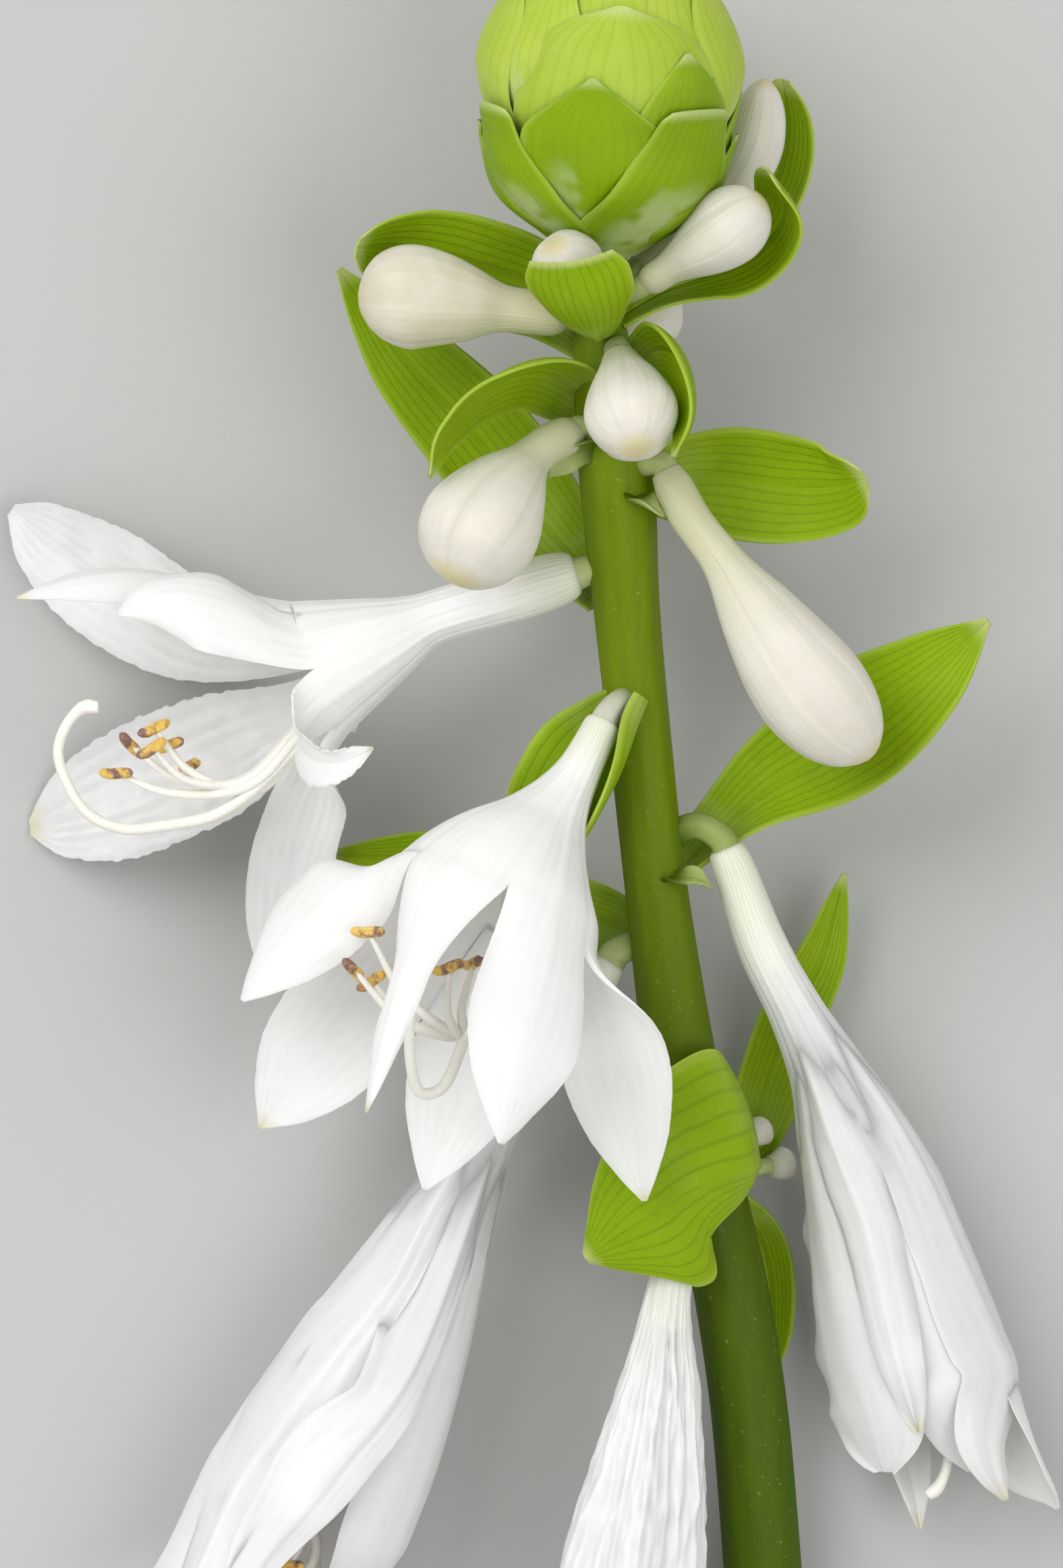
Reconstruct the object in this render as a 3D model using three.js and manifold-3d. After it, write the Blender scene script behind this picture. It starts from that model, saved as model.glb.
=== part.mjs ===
// A flowering stalk of a hosta (plantain lily), cut and laid on its side on a flat surface.
// Millimetres. +Y runs up the stalk to its tip, +X to its right, and +Z up from the surface.
// Places are first given round the middle of the stalk, and the whole is then set so that the
// middle of its lowest face is the origin.
import * as THREE from "three";
import { mergeVertices } from "three/addons/utils/BufferGeometryUtils.js";
import Module from "manifold-3d";

const wasm = await Module();
wasm.setup();

// ---- driving dimensions ----
const PETAL_WALL = 0.7; // thickness of a petal
const BRACT_WALL = 0.7; // thickness of a bract
const SEAT_GAP = 0.35; // running gap between a piece and what it grows from
const PETALS = 6;
const PETAL_STEPS = 3; // facets across one petal
const PETAL_ROWS = 5; // facets along the free part of a petal
const BRACT_STEPS = 4; // facets across a bract
const FLARE_AT = 0.45; // share of a lobe's length where it is widest
const SLOPE_STEP = 1e-3; // step that slopes are measured over
const UP = new THREE.Vector3(0, 0, 1);

// ---- small maths ----
const vec = (place) => new THREE.Vector3(...place);
const clamp01 = (x) => Math.min(Math.max(x, 0), 1);
const ease = (x) => clamp01(x) ** 2 * (3 - 2 * clamp01(x));
const mix = (a, b, share) => a + (b - a) * share;
const radians = THREE.MathUtils.degToRad;

// Smooth value at t through knots [[t, value], ...].
function along(knots, t) {
  const last = knots.length - 1;
  let i = 0;
  while (i < last - 1 && t > knots[i + 1][0]) i += 1;
  const slope = (k) => {
    const before = knots[Math.max(k - 1, 0)];
    const after = knots[Math.min(k + 1, last)];
    return (after[1] - before[1]) / (after[0] - before[0]);
  };
  const span = knots[i + 1][0] - knots[i][0];
  const u = clamp01((t - knots[i][0]) / span);
  const rise = knots[i][1] * (1 + 2 * u) * (1 - u) ** 2 + knots[i + 1][1] * u * u * (3 - 2 * u);
  return rise + span * u * (1 - u) * (slope(i) * (1 - u) - slope(i + 1) * u);
}

// A closed surface, gathered face by face.
class Skin {
  constructor() {
    this.points = [];
    this.faces = [];
  }

  point(p) {
    this.points.push(p.x, p.y, p.z);
    return this.points.length / 3 - 1;
  }

  quad(a, b, c, d) {
    this.faces.push(a, b, c, a, c, d);
  }

  triangle(a, b, c) {
    this.faces.push(a, b, c);
  }

  geometry() {
    const made = new THREE.BufferGeometry();
    made.setAttribute("position", new THREE.Float32BufferAttribute(this.points, 3));
    return made.setIndex(this.faces);
  }
}

// ---- joining and cutting ----
function solidOf(geometry) {
  const bare = geometry.clone();
  bare.deleteAttribute("normal");
  bare.deleteAttribute("uv");
  const merged = mergeVertices(bare, 1e-4);
  return new wasm.Manifold(
    new wasm.Mesh({
      numProp: 3,
      vertProperties: new Float32Array(merged.attributes.position.array),
      triVerts: new Uint32Array(merged.index.array),
    }),
  );
}

function geometryOf(solid) {
  const biggest = solid.decompose().sort((a, b) => b.volume() - a.volume())[0];
  const mesh = biggest.getMesh();
  const made = new THREE.BufferGeometry();
  made.setAttribute("position", new THREE.BufferAttribute(new Float32Array(mesh.vertProperties), 3));
  return made.setIndex(new THREE.BufferAttribute(new Uint32Array(mesh.triVerts), 1));
}

const joined = (geometries) => geometries.map(solidOf).reduce((whole, next) => whole.add(next));

// ---- a round stem, tube or bud along a curve ----
// radii are knots [[share of the length, radius], ...]; ribs deepens the grooves between petals.
function tube({ path, radii, sides, rows, ribs = 0 }) {
  const curve = new THREE.CatmullRomCurve3(path.map(vec), false, "centripetal");
  const skin = new Skin();
  const rings = [];
  for (let row = 0; row <= rows; row += 1) {
    const t = row / rows;
    const centre = curve.getPointAt(t);
    const tangent = curve.getTangentAt(t);
    const near = UP.clone().addScaledVector(tangent, -UP.dot(tangent)).normalize();
    const aside = tangent.clone().cross(near);
    const ring = [];
    for (let side = 0; side < sides; side += 1) {
      const angle = (2 * Math.PI * side) / sides;
      const radius = along(radii, t) * (1 + ribs * Math.cos(PETALS * angle));
      const p = centre.clone();
      p.addScaledVector(near, radius * Math.cos(angle)).addScaledVector(aside, radius * Math.sin(angle));
      ring.push(skin.point(p));
    }
    rings.push(ring);
  }
  const foot = skin.point(curve.getPointAt(0));
  const top = skin.point(curve.getPointAt(1));
  for (let side = 0; side < sides; side += 1) {
    const next = (side + 1) % sides;
    for (let row = 0; row < rows; row += 1)
      skin.quad(rings[row][side], rings[row][next], rings[row + 1][next], rings[row + 1][side]);
    skin.triangle(foot, rings[0][next], rings[0][side]);
    skin.triangle(top, rings[rows][side], rings[rows][next]);
  }
  return skin.geometry();
}

// ---- a leaf-like blade ----
// path is its midrib from root to tip, face the direction its inner side looks in at the root
// and faceTip at the tip, half its greatest half width, and cup how far it is rolled, in degrees.
// outline is its half width along its length, as a share of half, and otherSide the same for the
// half that lies against midrib direction x face, where the two halves differ.
const BRACT_OUTLINE = [[0, 0.5], [0.18, 0.82], [0.42, 1], [0.7, 0.8], [0.88, 0.42], [1, 0.06]];

function blade(shape) {
  const { path, face, faceTip = face, half, cup, cupTip = cup * 0.6 } = shape;
  const { rows = 7, steps = BRACT_STEPS, outline = BRACT_OUTLINE, otherSide = outline } = shape;
  const curve = new THREE.CatmullRomCurve3(path.map(vec), false, "centripetal");
  const surface = (s, t) => {
    const tangent = curve.getTangentAt(t);
    const looks = vec(face).lerp(vec(faceTip), t);
    looks.addScaledVector(tangent, -looks.dot(tangent)).normalize();
    const across = tangent.clone().cross(looks);
    const width = half * along(s < 0 ? otherSide : outline, t);
    const roll = radians(mix(cup, cupTip, ease(t)));
    const bend = width / roll;
    const p = curve.getPointAt(t);
    p.addScaledVector(across, bend * Math.sin(s * roll));
    return p.addScaledVector(looks, bend * (1 - Math.cos(s * roll)));
  };
  const skin = new Skin();
  const inner = [];
  const outer = [];
  for (let row = 0; row <= rows; row += 1) {
    inner.push([]);
    outer.push([]);
    for (let column = 0; column <= steps; column += 1) {
      const s = (2 * column) / steps - 1;
      const t = row / rows;
      const p = surface(s, t);
      const overS = surface(s + SLOPE_STEP, t).sub(surface(s - SLOPE_STEP, t));
      const overT = surface(s, Math.min(t + SLOPE_STEP, 1)).sub(surface(s, Math.max(t - SLOPE_STEP, 0)));
      const normal = overS.cross(overT).normalize().multiplyScalar(BRACT_WALL / 2);
      inner[row].push(skin.point(p.clone().add(normal)));
      outer[row].push(skin.point(p.clone().sub(normal)));
    }
  }
  wrapSheet(skin, inner, outer, rows, steps);
  return skin.geometry();
}

// Both faces of a sheet, split into triangles alike, and its four edges. front faces the viewer
// who sees columns run to the right and rows upwards.
function wrapSheet(skin, front, back, rows, columns) {
  for (let row = 0; row < rows; row += 1) {
    for (let column = 0; column < columns; column += 1) {
      const [a, b] = [column, column + 1];
      skin.triangle(front[row][a], front[row][b], front[row + 1][b]);
      skin.triangle(front[row][a], front[row + 1][b], front[row + 1][a]);
      skin.triangle(back[row][a], back[row + 1][b], back[row][b]);
      skin.triangle(back[row][a], back[row + 1][a], back[row + 1][b]);
    }
    sideEdge(skin, front, back, row, columns);
    skin.quad(front[row + 1][0], back[row + 1][0], back[row][0], front[row][0]);
  }
  for (let column = 0; column < columns; column += 1) {
    const [a, b] = [column, column + 1];
    skin.quad(front[rows][a], front[rows][b], back[rows][b], back[rows][a]);
    skin.quad(front[0][b], front[0][a], back[0][a], back[0][b]);
  }
}

function sideEdge(skin, front, back, row, column) {
  skin.quad(front[row][column], back[row][column], back[row + 1][column], front[row + 1][column]);
}

// ---- a flower: six petals grown into a tube, which opens into a bell and six free lobes ----
// axis runs from the foot to the middle of the mouth, where the lobes part. radii are its outer
// radii along it, and pleat deepens the folds between petals. A lobe's angle is measured round the
// axis from the side nearest +Z, towards axis direction x +Z. tip is where it ends, half its
// greatest half width, face where its inner side looks at the tip, turn how soon it turns there,
// and cup how far it is rolled, in degrees. Its midrib heads for lead, or follows the bell for the
// share reach of its length, and comes to the tip in direction end over the share pull.
const HOLLOW_FROM = 2; // rows below which the tube is solid
const LOBE = { reach: 0.35, pull: 0.3, turn: 1.2, cup: 25 };
const LOBE_OUTLINE = [[0, 0], [0.25, 0.75], [0.45, 1], [0.7, 0.78], [0.9, 0.34], [1, 0.05]];
const BLUNT_OUTLINE = [[0, 0], [0.25, 0.75], [0.45, 1], [0.7, 0.95], [0.9, 0.6], [1, 0.12]];

function bloom({ path, radii, lobes, rows = 6, pleat = 0 }) {
  const curve = new THREE.CatmullRomCurve3(path.map(vec), false, "centripetal");
  const columns = PETALS * PETAL_STEPS;
  const first = radians(lobes[0].angle) - Math.PI / PETALS;

  const bell = (angle, t) => {
    const tangent = curve.getTangentAt(t);
    const near = UP.clone().addScaledVector(tangent, -UP.dot(tangent)).normalize();
    const aside = tangent.clone().cross(near);
    const fold = 1 + pleat * ease(t) * Math.cos(PETALS * (angle - first) - Math.PI);
    const radius = along(radii, t) * fold;
    const p = curve.getPointAt(t).addScaledVector(near, radius * Math.cos(angle));
    return p.addScaledVector(aside, radius * Math.sin(angle));
  };

  const lobeSurface = (lobe, index) => {
    const { reach, pull, turn, cup, half, end, face } = { ...LOBE, ...lobe };
    const middle = first + (Math.PI / PETALS) * (2 * index + 1);
    const root = bell(middle, 1);
    const rise = bell(middle, 1).sub(bell(middle, 0.96)).normalize();
    const round = bell(middle + SLOPE_STEP, 1).sub(bell(middle - SLOPE_STEP, 1)).normalize();
    const tip = vec(lobe.tip);
    const length = root.distanceTo(tip);
    const lead = lobe.lead ? vec(lobe.lead) : root.clone().addScaledVector(rise, length * reach);
    const arrive = end ? vec(end).normalize() : tip.clone().sub(lead).normalize();
    const back = tip.clone().addScaledVector(arrive, -length * pull);
    const midrib = new THREE.CubicBezierCurve3(root, lead, back, tip);
    const rimHalf = (along(radii, 1) * Math.PI) / PETALS;
    const outTip = vec(face).negate();
    const outline = lobe.blunt ? BLUNT_OUTLINE : LOBE_OUTLINE;
    return (s, t) => {
      const tangent = midrib.getTangentAt(t);
      const across = round.clone();
      across.lerp(tangent.clone().cross(outTip).normalize(), ease(t * turn));
      across.addScaledVector(tangent, -across.dot(tangent)).normalize();
      const out = across.clone().cross(tangent);
      const swell = t < FLARE_AT ? mix(rimHalf, half, ease(t / FLARE_AT)) : half * along(outline, t);
      const roll = mix(Math.PI / PETALS, radians(cup), ease(t * 1.4));
      const bend = swell / roll;
      const p = midrib.getPointAt(t);
      p.addScaledVector(across, bend * Math.sin(s * roll));
      p.addScaledVector(out, -bend * (1 - Math.cos(s * roll)));
      const rimAngle = middle + (s * Math.PI) / PETALS;
      const rimMiddle = arcPoint(root, round, rise, rimHalf, s);
      return p.addScaledVector(bell(rimAngle, 1).sub(rimMiddle), 1 - ease(t * 2));
    };
  };

  const skin = new Skin();
  const outer = [];
  const inner = [];
  for (let row = 0; row <= rows; row += 1) {
    const t = row / rows;
    outer.push([]);
    inner.push([]);
    for (let column = 0; column < columns; column += 1) {
      const angle = first + (2 * Math.PI * column) / columns;
      const p = bell(angle, t);
      const round = bell(angle + SLOPE_STEP, t).sub(bell(angle - SLOPE_STEP, t));
      const rise = bell(angle, Math.min(t + SLOPE_STEP, 1)).sub(bell(angle, Math.max(t - SLOPE_STEP, 0)));
      const normal = round.cross(rise).normalize();
      outer[row].push(skin.point(p));
      const hollow = row >= HOLLOW_FROM;
      inner[row].push(hollow ? skin.point(p.clone().addScaledVector(normal, -PETAL_WALL)) : -1);
    }
  }
  const foot = skin.point(curve.getPointAt(0));
  const floor = skin.point(curve.getPointAt(HOLLOW_FROM / rows));
  for (let column = 0; column < columns; column += 1) {
    const next = (column + 1) % columns;
    for (let row = 0; row < rows; row += 1) {
      skin.triangle(outer[row][column], outer[row][next], outer[row + 1][next]);
      skin.triangle(outer[row][column], outer[row + 1][next], outer[row + 1][column]);
      if (row < HOLLOW_FROM) continue;
      skin.triangle(inner[row][column], inner[row + 1][next], inner[row][next]);
      skin.triangle(inner[row][column], inner[row + 1][column], inner[row + 1][next]);
    }
    skin.triangle(foot, outer[0][next], outer[0][column]);
    skin.triangle(floor, inner[HOLLOW_FROM][column], inner[HOLLOW_FROM][next]);
  }

  lobes.forEach((lobe, index) => {
    const surface = lobeSurface(lobe, index);
    const front = [];
    const back = [];
    for (let row = 0; row <= PETAL_ROWS; row += 1) {
      front.push([]);
      back.push([]);
      for (let column = 0; column <= PETAL_STEPS; column += 1) {
        if (row === 0) {
          const shared = (index * PETAL_STEPS + column) % columns;
          front[0].push(outer[rows][shared]);
          back[0].push(inner[rows][shared]);
          continue;
        }
        const s = (2 * column) / PETAL_STEPS - 1;
        const t = row / PETAL_ROWS;
        const p = surface(s, t);
        const round = surface(s + SLOPE_STEP, t).sub(surface(s - SLOPE_STEP, t));
        const rise = surface(s, Math.min(t + SLOPE_STEP, 1)).sub(surface(s, t - SLOPE_STEP));
        const normal = round.cross(rise).normalize();
        front[row].push(skin.point(p));
        back[row].push(skin.point(p.clone().addScaledVector(normal, -PETAL_WALL)));
      }
    }
    wrapLobe(skin, front, back);
  });
  return skin.geometry();
}

// A point on the round arc that a lobe leaves the bell with.
function arcPoint(root, round, rise, rimHalf, s) {
  const roll = Math.PI / PETALS;
  const bend = rimHalf / roll;
  const out = round.clone().cross(rise).normalize();
  const p = root.clone().addScaledVector(round, bend * Math.sin(s * roll));
  return p.addScaledVector(out, -bend * (1 - Math.cos(s * roll)));
}

function wrapLobe(skin, front, back) {
  const last = PETAL_ROWS;
  for (let row = 0; row < PETAL_ROWS; row += 1) {
    for (let a = 0; a < PETAL_STEPS; a += 1) {
      const b = a + 1;
      skin.triangle(front[row][a], front[row][b], front[row + 1][b]);
      skin.triangle(front[row][a], front[row + 1][b], front[row + 1][a]);
      skin.triangle(back[row][a], back[row + 1][b], back[row][b]);
      skin.triangle(back[row][a], back[row + 1][a], back[row + 1][b]);
    }
    sideEdge(skin, front, back, row, PETAL_STEPS);
    skin.quad(front[row + 1][0], back[row + 1][0], back[row][0], front[row][0]);
  }
  for (let a = 0; a < PETAL_STEPS; a += 1)
    skin.quad(front[last][a], front[last][a + 1], back[last][a + 1], back[last][a]);
}

// ---- the flowers ----
// from is where the stalk leaves the middle of the stem, stalk its radius.
const FLOWERS = {
  // open, seen from its side
  flower_left: {
    from: [8.8, 20.6, 20.7], stalk: 1.6,
    path: [[4.3, 19.8, 20.5], [-4.4, 17.1, 20.3], [-9.5, 15.5, 20.1], [-13.3, 13.8, 20],
      [-20, 10.9, 19.6]],
    radii: [[0, 1.9], [0.15, 2.5], [0.36, 2.2], [0.52, 2.05], [0.6, 2.5], [0.74, 4.3], [0.88, 6],
      [1, 6.9]],
    lobes: [
      { angle: 30, tip: [-38.7, 15.9, 27], half: 4.9, face: [-0.2, -0.5, -0.8], end: [-0.85, -0.5, -0.15],
        cup: 44, lead: [-26, 16.4, 27], pull: 0.5 },
      { angle: 90, tip: [-48.3, 17.5, 22], half: 4.6, face: [0.1, -0.85, -0.5], end: [-1, -0.4, 0],
        cup: 34, lead: [-29, 18, 21], pull: 0.5 },
      { angle: 150, tip: [-49.2, 26, 2.6], half: 5.8, face: [-0.1, -0.3, 0.95], cup: 30, turn: 2,
        blunt: true },
      { angle: 210, tip: [-47.5, -4.2, 0.5], half: 6.9, face: [-0.1, 0.3, 0.95], cup: 28,
        turn: 2, blunt: true },
      { angle: 270, tip: [-23.8, -19, 10.6], lead: [-21.6, -1, 13], half: 4.5, face: [-0.2, 0, 0.95],
        end: [0, -1, -0.1], cup: 24, turn: 3, blunt: true },
      { angle: 330, tip: [-14.8, 3.4, 31], half: 3.3, face: [-0.3, -0.2, 0.9], end: [1, 0.7, -0.2],
        cup: 32, reach: 0.9, pull: 0.8, turn: 1 },
    ],
  },
  // open, its mouth turned up
  flower_front: {
    from: [9.9, 7.2, 18.8], via: [[8.6, 7.8, 21.6]], stalk: 1.45,
    path: [[7, 6.1, 23.5], [5.2, 1.4, 25], [2, -5, 27.5], [-5.1, -14.3, 31.5]],
    radii: [[0, 1.9], [0.3, 2], [0.45, 2.7], [0.61, 5.6], [0.75, 8.2], [0.88, 9.9], [1, 10.8]],
    lobes: [
      { angle: -150, tip: [-10, -38, 24], half: 5.6, face: [0, 0.3, 1], cup: 22 },
      { angle: -90, tip: [11.2, -39.1, 29], lead: [9.6, -22, 30.5], half: 6, face: [-0.5, 0, 0.9],
        cup: 24, turn: 2 },
      { angle: -30, tip: [-2.8, -33.4, 40], half: 5.2, face: [-0.2, 0.3, -0.9], cup: 26 },
      { angle: 30, tip: [-15.4, -30.5, 38], half: 2.6, face: [0.6, 0.2, -0.6], cup: 60 },
      { angle: 90, tip: [-27.1, -20.2, 30], half: 4.8, face: [0.3, -0.5, -0.8], cup: 36 },
      { angle: 150, tip: [-25.5, -32.3, 20], half: 5.9, face: [0.2, 0.1, 1], cup: 24, turn: 2,
        blunt: true },
    ],
  },
  // faded and nearly closed
  flower_right_closed: {
    from: [11.4, -6.6, 16.6], via: [[15.4, -3, 17.1]], stalk: 1.4,
    path: [
      [18.2, -6, 17], [19.2, -8.4, 16.8], [21.7, -15.2, 16], [25, -21.6, 14.5], [28.2, -28, 13],
      [32, -38.3, 11], [34.4, -47.2, 10], [37.4, -57, 9.2],
    ],
    radii: [[0, 1.9], [0.17, 2.3], [0.3, 2.5], [0.42, 3.5], [0.52, 4.9], [0.62, 6], [0.8, 7.4], [1, 8.2]],
    rows: 9,
    pleat: 0.1,
    lobes: [
      { angle: 30, tip: [37.6, -62.4, 16], half: 4, face: [0, 0, -1], cup: 40 },
      { angle: 90, tip: [34.7, -64.8, 10], half: 4.2, face: [1, 0, 0], cup: 36 },
      { angle: 150, tip: [38.4, -70.4, 5], half: 4.2, face: [0.3, 0, 1], cup: 30 },
      { angle: 210, tip: [44.3, -66.8, 0.4], half: 4.2, face: [0, 0, 1], cup: 30 },
      { angle: 270, tip: [49.9, -68.5, 9], half: 4.2, face: [-0.8, -0.3, 0.5], cup: 30 },
      { angle: 330, tip: [45.2, -67.3, 15], half: 4.2, face: [-0.3, 0, -1], cup: 30 },
    ],
  },
  // withered and wrinkled
  flower_low_middle_withered: {
    from: [16.6, -38, 12], via: [[15.4, -38.6, 15]], stalk: 1.5,
    path: [
      [14.8, -40.8, 16.8], [14, -43.4, 16.6], [12.9, -47.9, 16.5], [12, -56.8, 15.8], [10.7, -66.4, 14.8],
      [9.4, -74.7, 13.5], [8.7, -82, 12.4],
    ],
    radii: [[0, 1.8], [0.1, 1.9], [0.25, 2.6], [0.45, 4.5], [0.65, 6.1], [0.85, 7], [1, 6.6]],
    rows: 8,
    pleat: 0.12,
    lobes: [
      { angle: 0, tip: [8.2, -93.2, 13.6], half: 3.3, face: [0, 0, -1], cup: 40 },
      { angle: 60, tip: [5.2, -92, 12.6], half: 3.3, face: [1, 0, -1], cup: 36 },
      { angle: 120, tip: [5.6, -94, 9.4], half: 3.3, face: [1, 0, 0.5], cup: 36 },
      { angle: 180, tip: [8.4, -95, 7.6], half: 3.3, face: [0, 0, 1], cup: 36 },
      { angle: 240, tip: [11.2, -93, 9.2], half: 3.3, face: [-1, 0, 0.5], cup: 36 },
      { angle: 300, tip: [11.2, -92, 12.6], half: 3.3, face: [-1, 0, -1], cup: 36 },
    ],
  },
  // fading, its mouth still open
  flower_low_left: {
    from: [12.4, -14.4, 15.8], stalk: 1.5,
    path: [
      [7.5, -16.5, 14.4], [4, -21.6, 13.8], [-1.2, -28, 12.8], [-6.4, -37.6, 11.8], [-12.4, -50.4, 11.2],
      [-17.6, -61.1, 11], [-21.2, -68, 11],
    ],
    radii: [[0, 1.8], [0.15, 2.1], [0.3, 2.5], [0.42, 3.6], [0.55, 5.4], [0.7, 7.5], [0.87, 9.4],
      [1, 10.2]],
    rows: 8,
    pleat: 0.08,
    lobes: [
      { angle: 30, tip: [-33.5, -81.8, 17], half: 5, face: [0.2, 0, -1], cup: 34 },
      { angle: 90, tip: [-39.9, -78.6, 9], half: 5, face: [1, -0.4, 0], cup: 34 },
      { angle: 150, tip: [-31.8, -84.4, 0.6], half: 5, face: [0.3, 0, 1], cup: 30 },
      { angle: 210, tip: [-22.9, -85.6, 0.6], half: 5, face: [0, 0, 1], cup: 30 },
      { angle: 270, tip: [-14, -83.7, 10], half: 5, face: [-1, 0.3, 0], cup: 34 },
      { angle: 330, tip: [-23.5, -78, 18.4], half: 4.6, face: [-0.2, 0, -1], cup: 34 },
    ],
  },
};

// ---- stamens and style, one group to a flower: grown together in the tube, then fanned out ----
const BUNDLE = 1.1; // radius of the filaments and style while they lie together
const FILAMENT = 0.45;
const STYLE = 0.6;
const ANTHER = [1.6, 0.7]; // half length and radius
const STAMENS = {
  stamens_left: {
    flower: "flower_left", share: [0.45, 0.8],
    throat: [[-21.8, 4.6, 19.6], [-26.5, -0.1, 18.8]],
    anthers: [
      [-39, 1, 18], [-37.6, 3.6, 20], [-35.6, 3.3, 22.5], [-34.1, 3.6, 19], [-32.1, 1.7, 17],
      [-35.4, 5.2, 21.5],
    ],
    style: [
      [-30, -3, 18.2], [-34.4, -3.9, 19], [-38.3, -4.2, 20], [-41.6, -2.8, 21], [-43.8, 0.6, 22],
      [-44.4, 3.2, 22.5], [-43.5, 5.7, 23], [-42, 7.2, 23.3], [-40.6, 7.2, 23.5],
    ],
  },
  stamens_front: {
    flower: "flower_front", share: [0.5, 0.8],
    throat: [[-3.4, -18.6, 31], [-6, -23.4, 31.6]],
    anthers: [
      [-15.2, -13.8, 34.2], [-16.5, -17.4, 35], [-14.9, -18.4, 33], [-7.7, -17.1, 36.5],
      [-5.4, -16.7, 35],
      [-4.2, -20.4, 36],
    ],
    style: [
      [-8.4, -28.4, 32.6], [-10.3, -28.8, 33.4], [-11.3, -25.5, 35], [-11, -19, 36.5],
      [-10.2, -15.1, 36.8],
    ],
  },
  stamens_right: {
    flower: "flower_right_closed", share: [0.228, 0.86],
    throat: [[37.2, -56.6, 9.6], [38.6, -60, 10]],
    anthers: [[40.6, -63.4, 10.4], [42, -62, 8]],
    style: [[39.3, -63.6, 11], [39, -66, 11.6], [37.9, -67.3, 12]],
  },
  stamens_low_left: {
    flower: "flower_low_left", share: [0.256, 0.86],
    throat: [[-20, -65, 9.5], [-21.8, -69, 9]],
    anthers: [[-25.4, -73.6, 12.5], [-23.4, -74.4, 11.4], [-20.6, -72.6, 12.4], [-19.6, -74.6, 8.4]],
    style: [[-23.6, -73.4, 7.4], [-26, -77.4, 7.6], [-28.4, -78.4, 9.6]],
  },
};

function stamens({ flower, share, throat, anthers, style }) {
  const curve = new THREE.CatmullRomCurve3(FLOWERS[flower].path.map(vec), false, "centripetal");
  const inside = [0, 0.25, 0.5, 0.75, 1].map((t) => curve.getPointAt(mix(...share, t)).toArray());
  const [before, fork] = throat.map(vec);
  const ahead = fork.clone().sub(before).normalize();
  const bundle = tube({
    path: [...inside, ...throat], radii: [[0, BUNDLE * 0.6], [0.25, BUNDLE * 0.9], [1, BUNDLE]],
      sides: 6, rows: 8,
  });
  const pieces = anthers.map((anther, index) => {
    const sag = vec(anther).lerp(fork, 0.5).addScaledVector(ahead, 1.8);
    const path = [fork.clone().addScaledVector(ahead, -1), sag, vec(anther)].map((p) => p.toArray());
    const filament = tube({ path, radii: [[0, FILAMENT], [1, FILAMENT * 0.8]], sides: 4, rows: 4 });
    const lean = new THREE.Vector3(Math.cos(index * 1.9), 0.5 * Math.sin(index * 2.3), 0.4).normalize();
    const [reach, radius] = ANTHER;
    const ends = [-reach, 0, reach].map((step) => vec(anther).addScaledVector(lean, step).toArray());
    const swelling = [[0, radius * 0.4], [0.5, radius], [1, radius * 0.4]];
    const pollen = tube({ path: ends, radii: swelling, sides: 5, rows: 2 });
    return solidOf(filament).add(solidOf(pollen));
  });
  const stylePath = [fork.clone().addScaledVector(ahead, -1).toArray(), ...style];
  const rows = style.length + 3;
  const knobbed = [[0, STYLE], [0.94, STYLE], [1, STYLE * 1.2]];
  const pistil = tube({ path: stylePath, radii: knobbed, sides: 5, rows });
  return pieces.reduce((whole, next) => whole.add(next), joined([bundle, pistil]));
}

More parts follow.
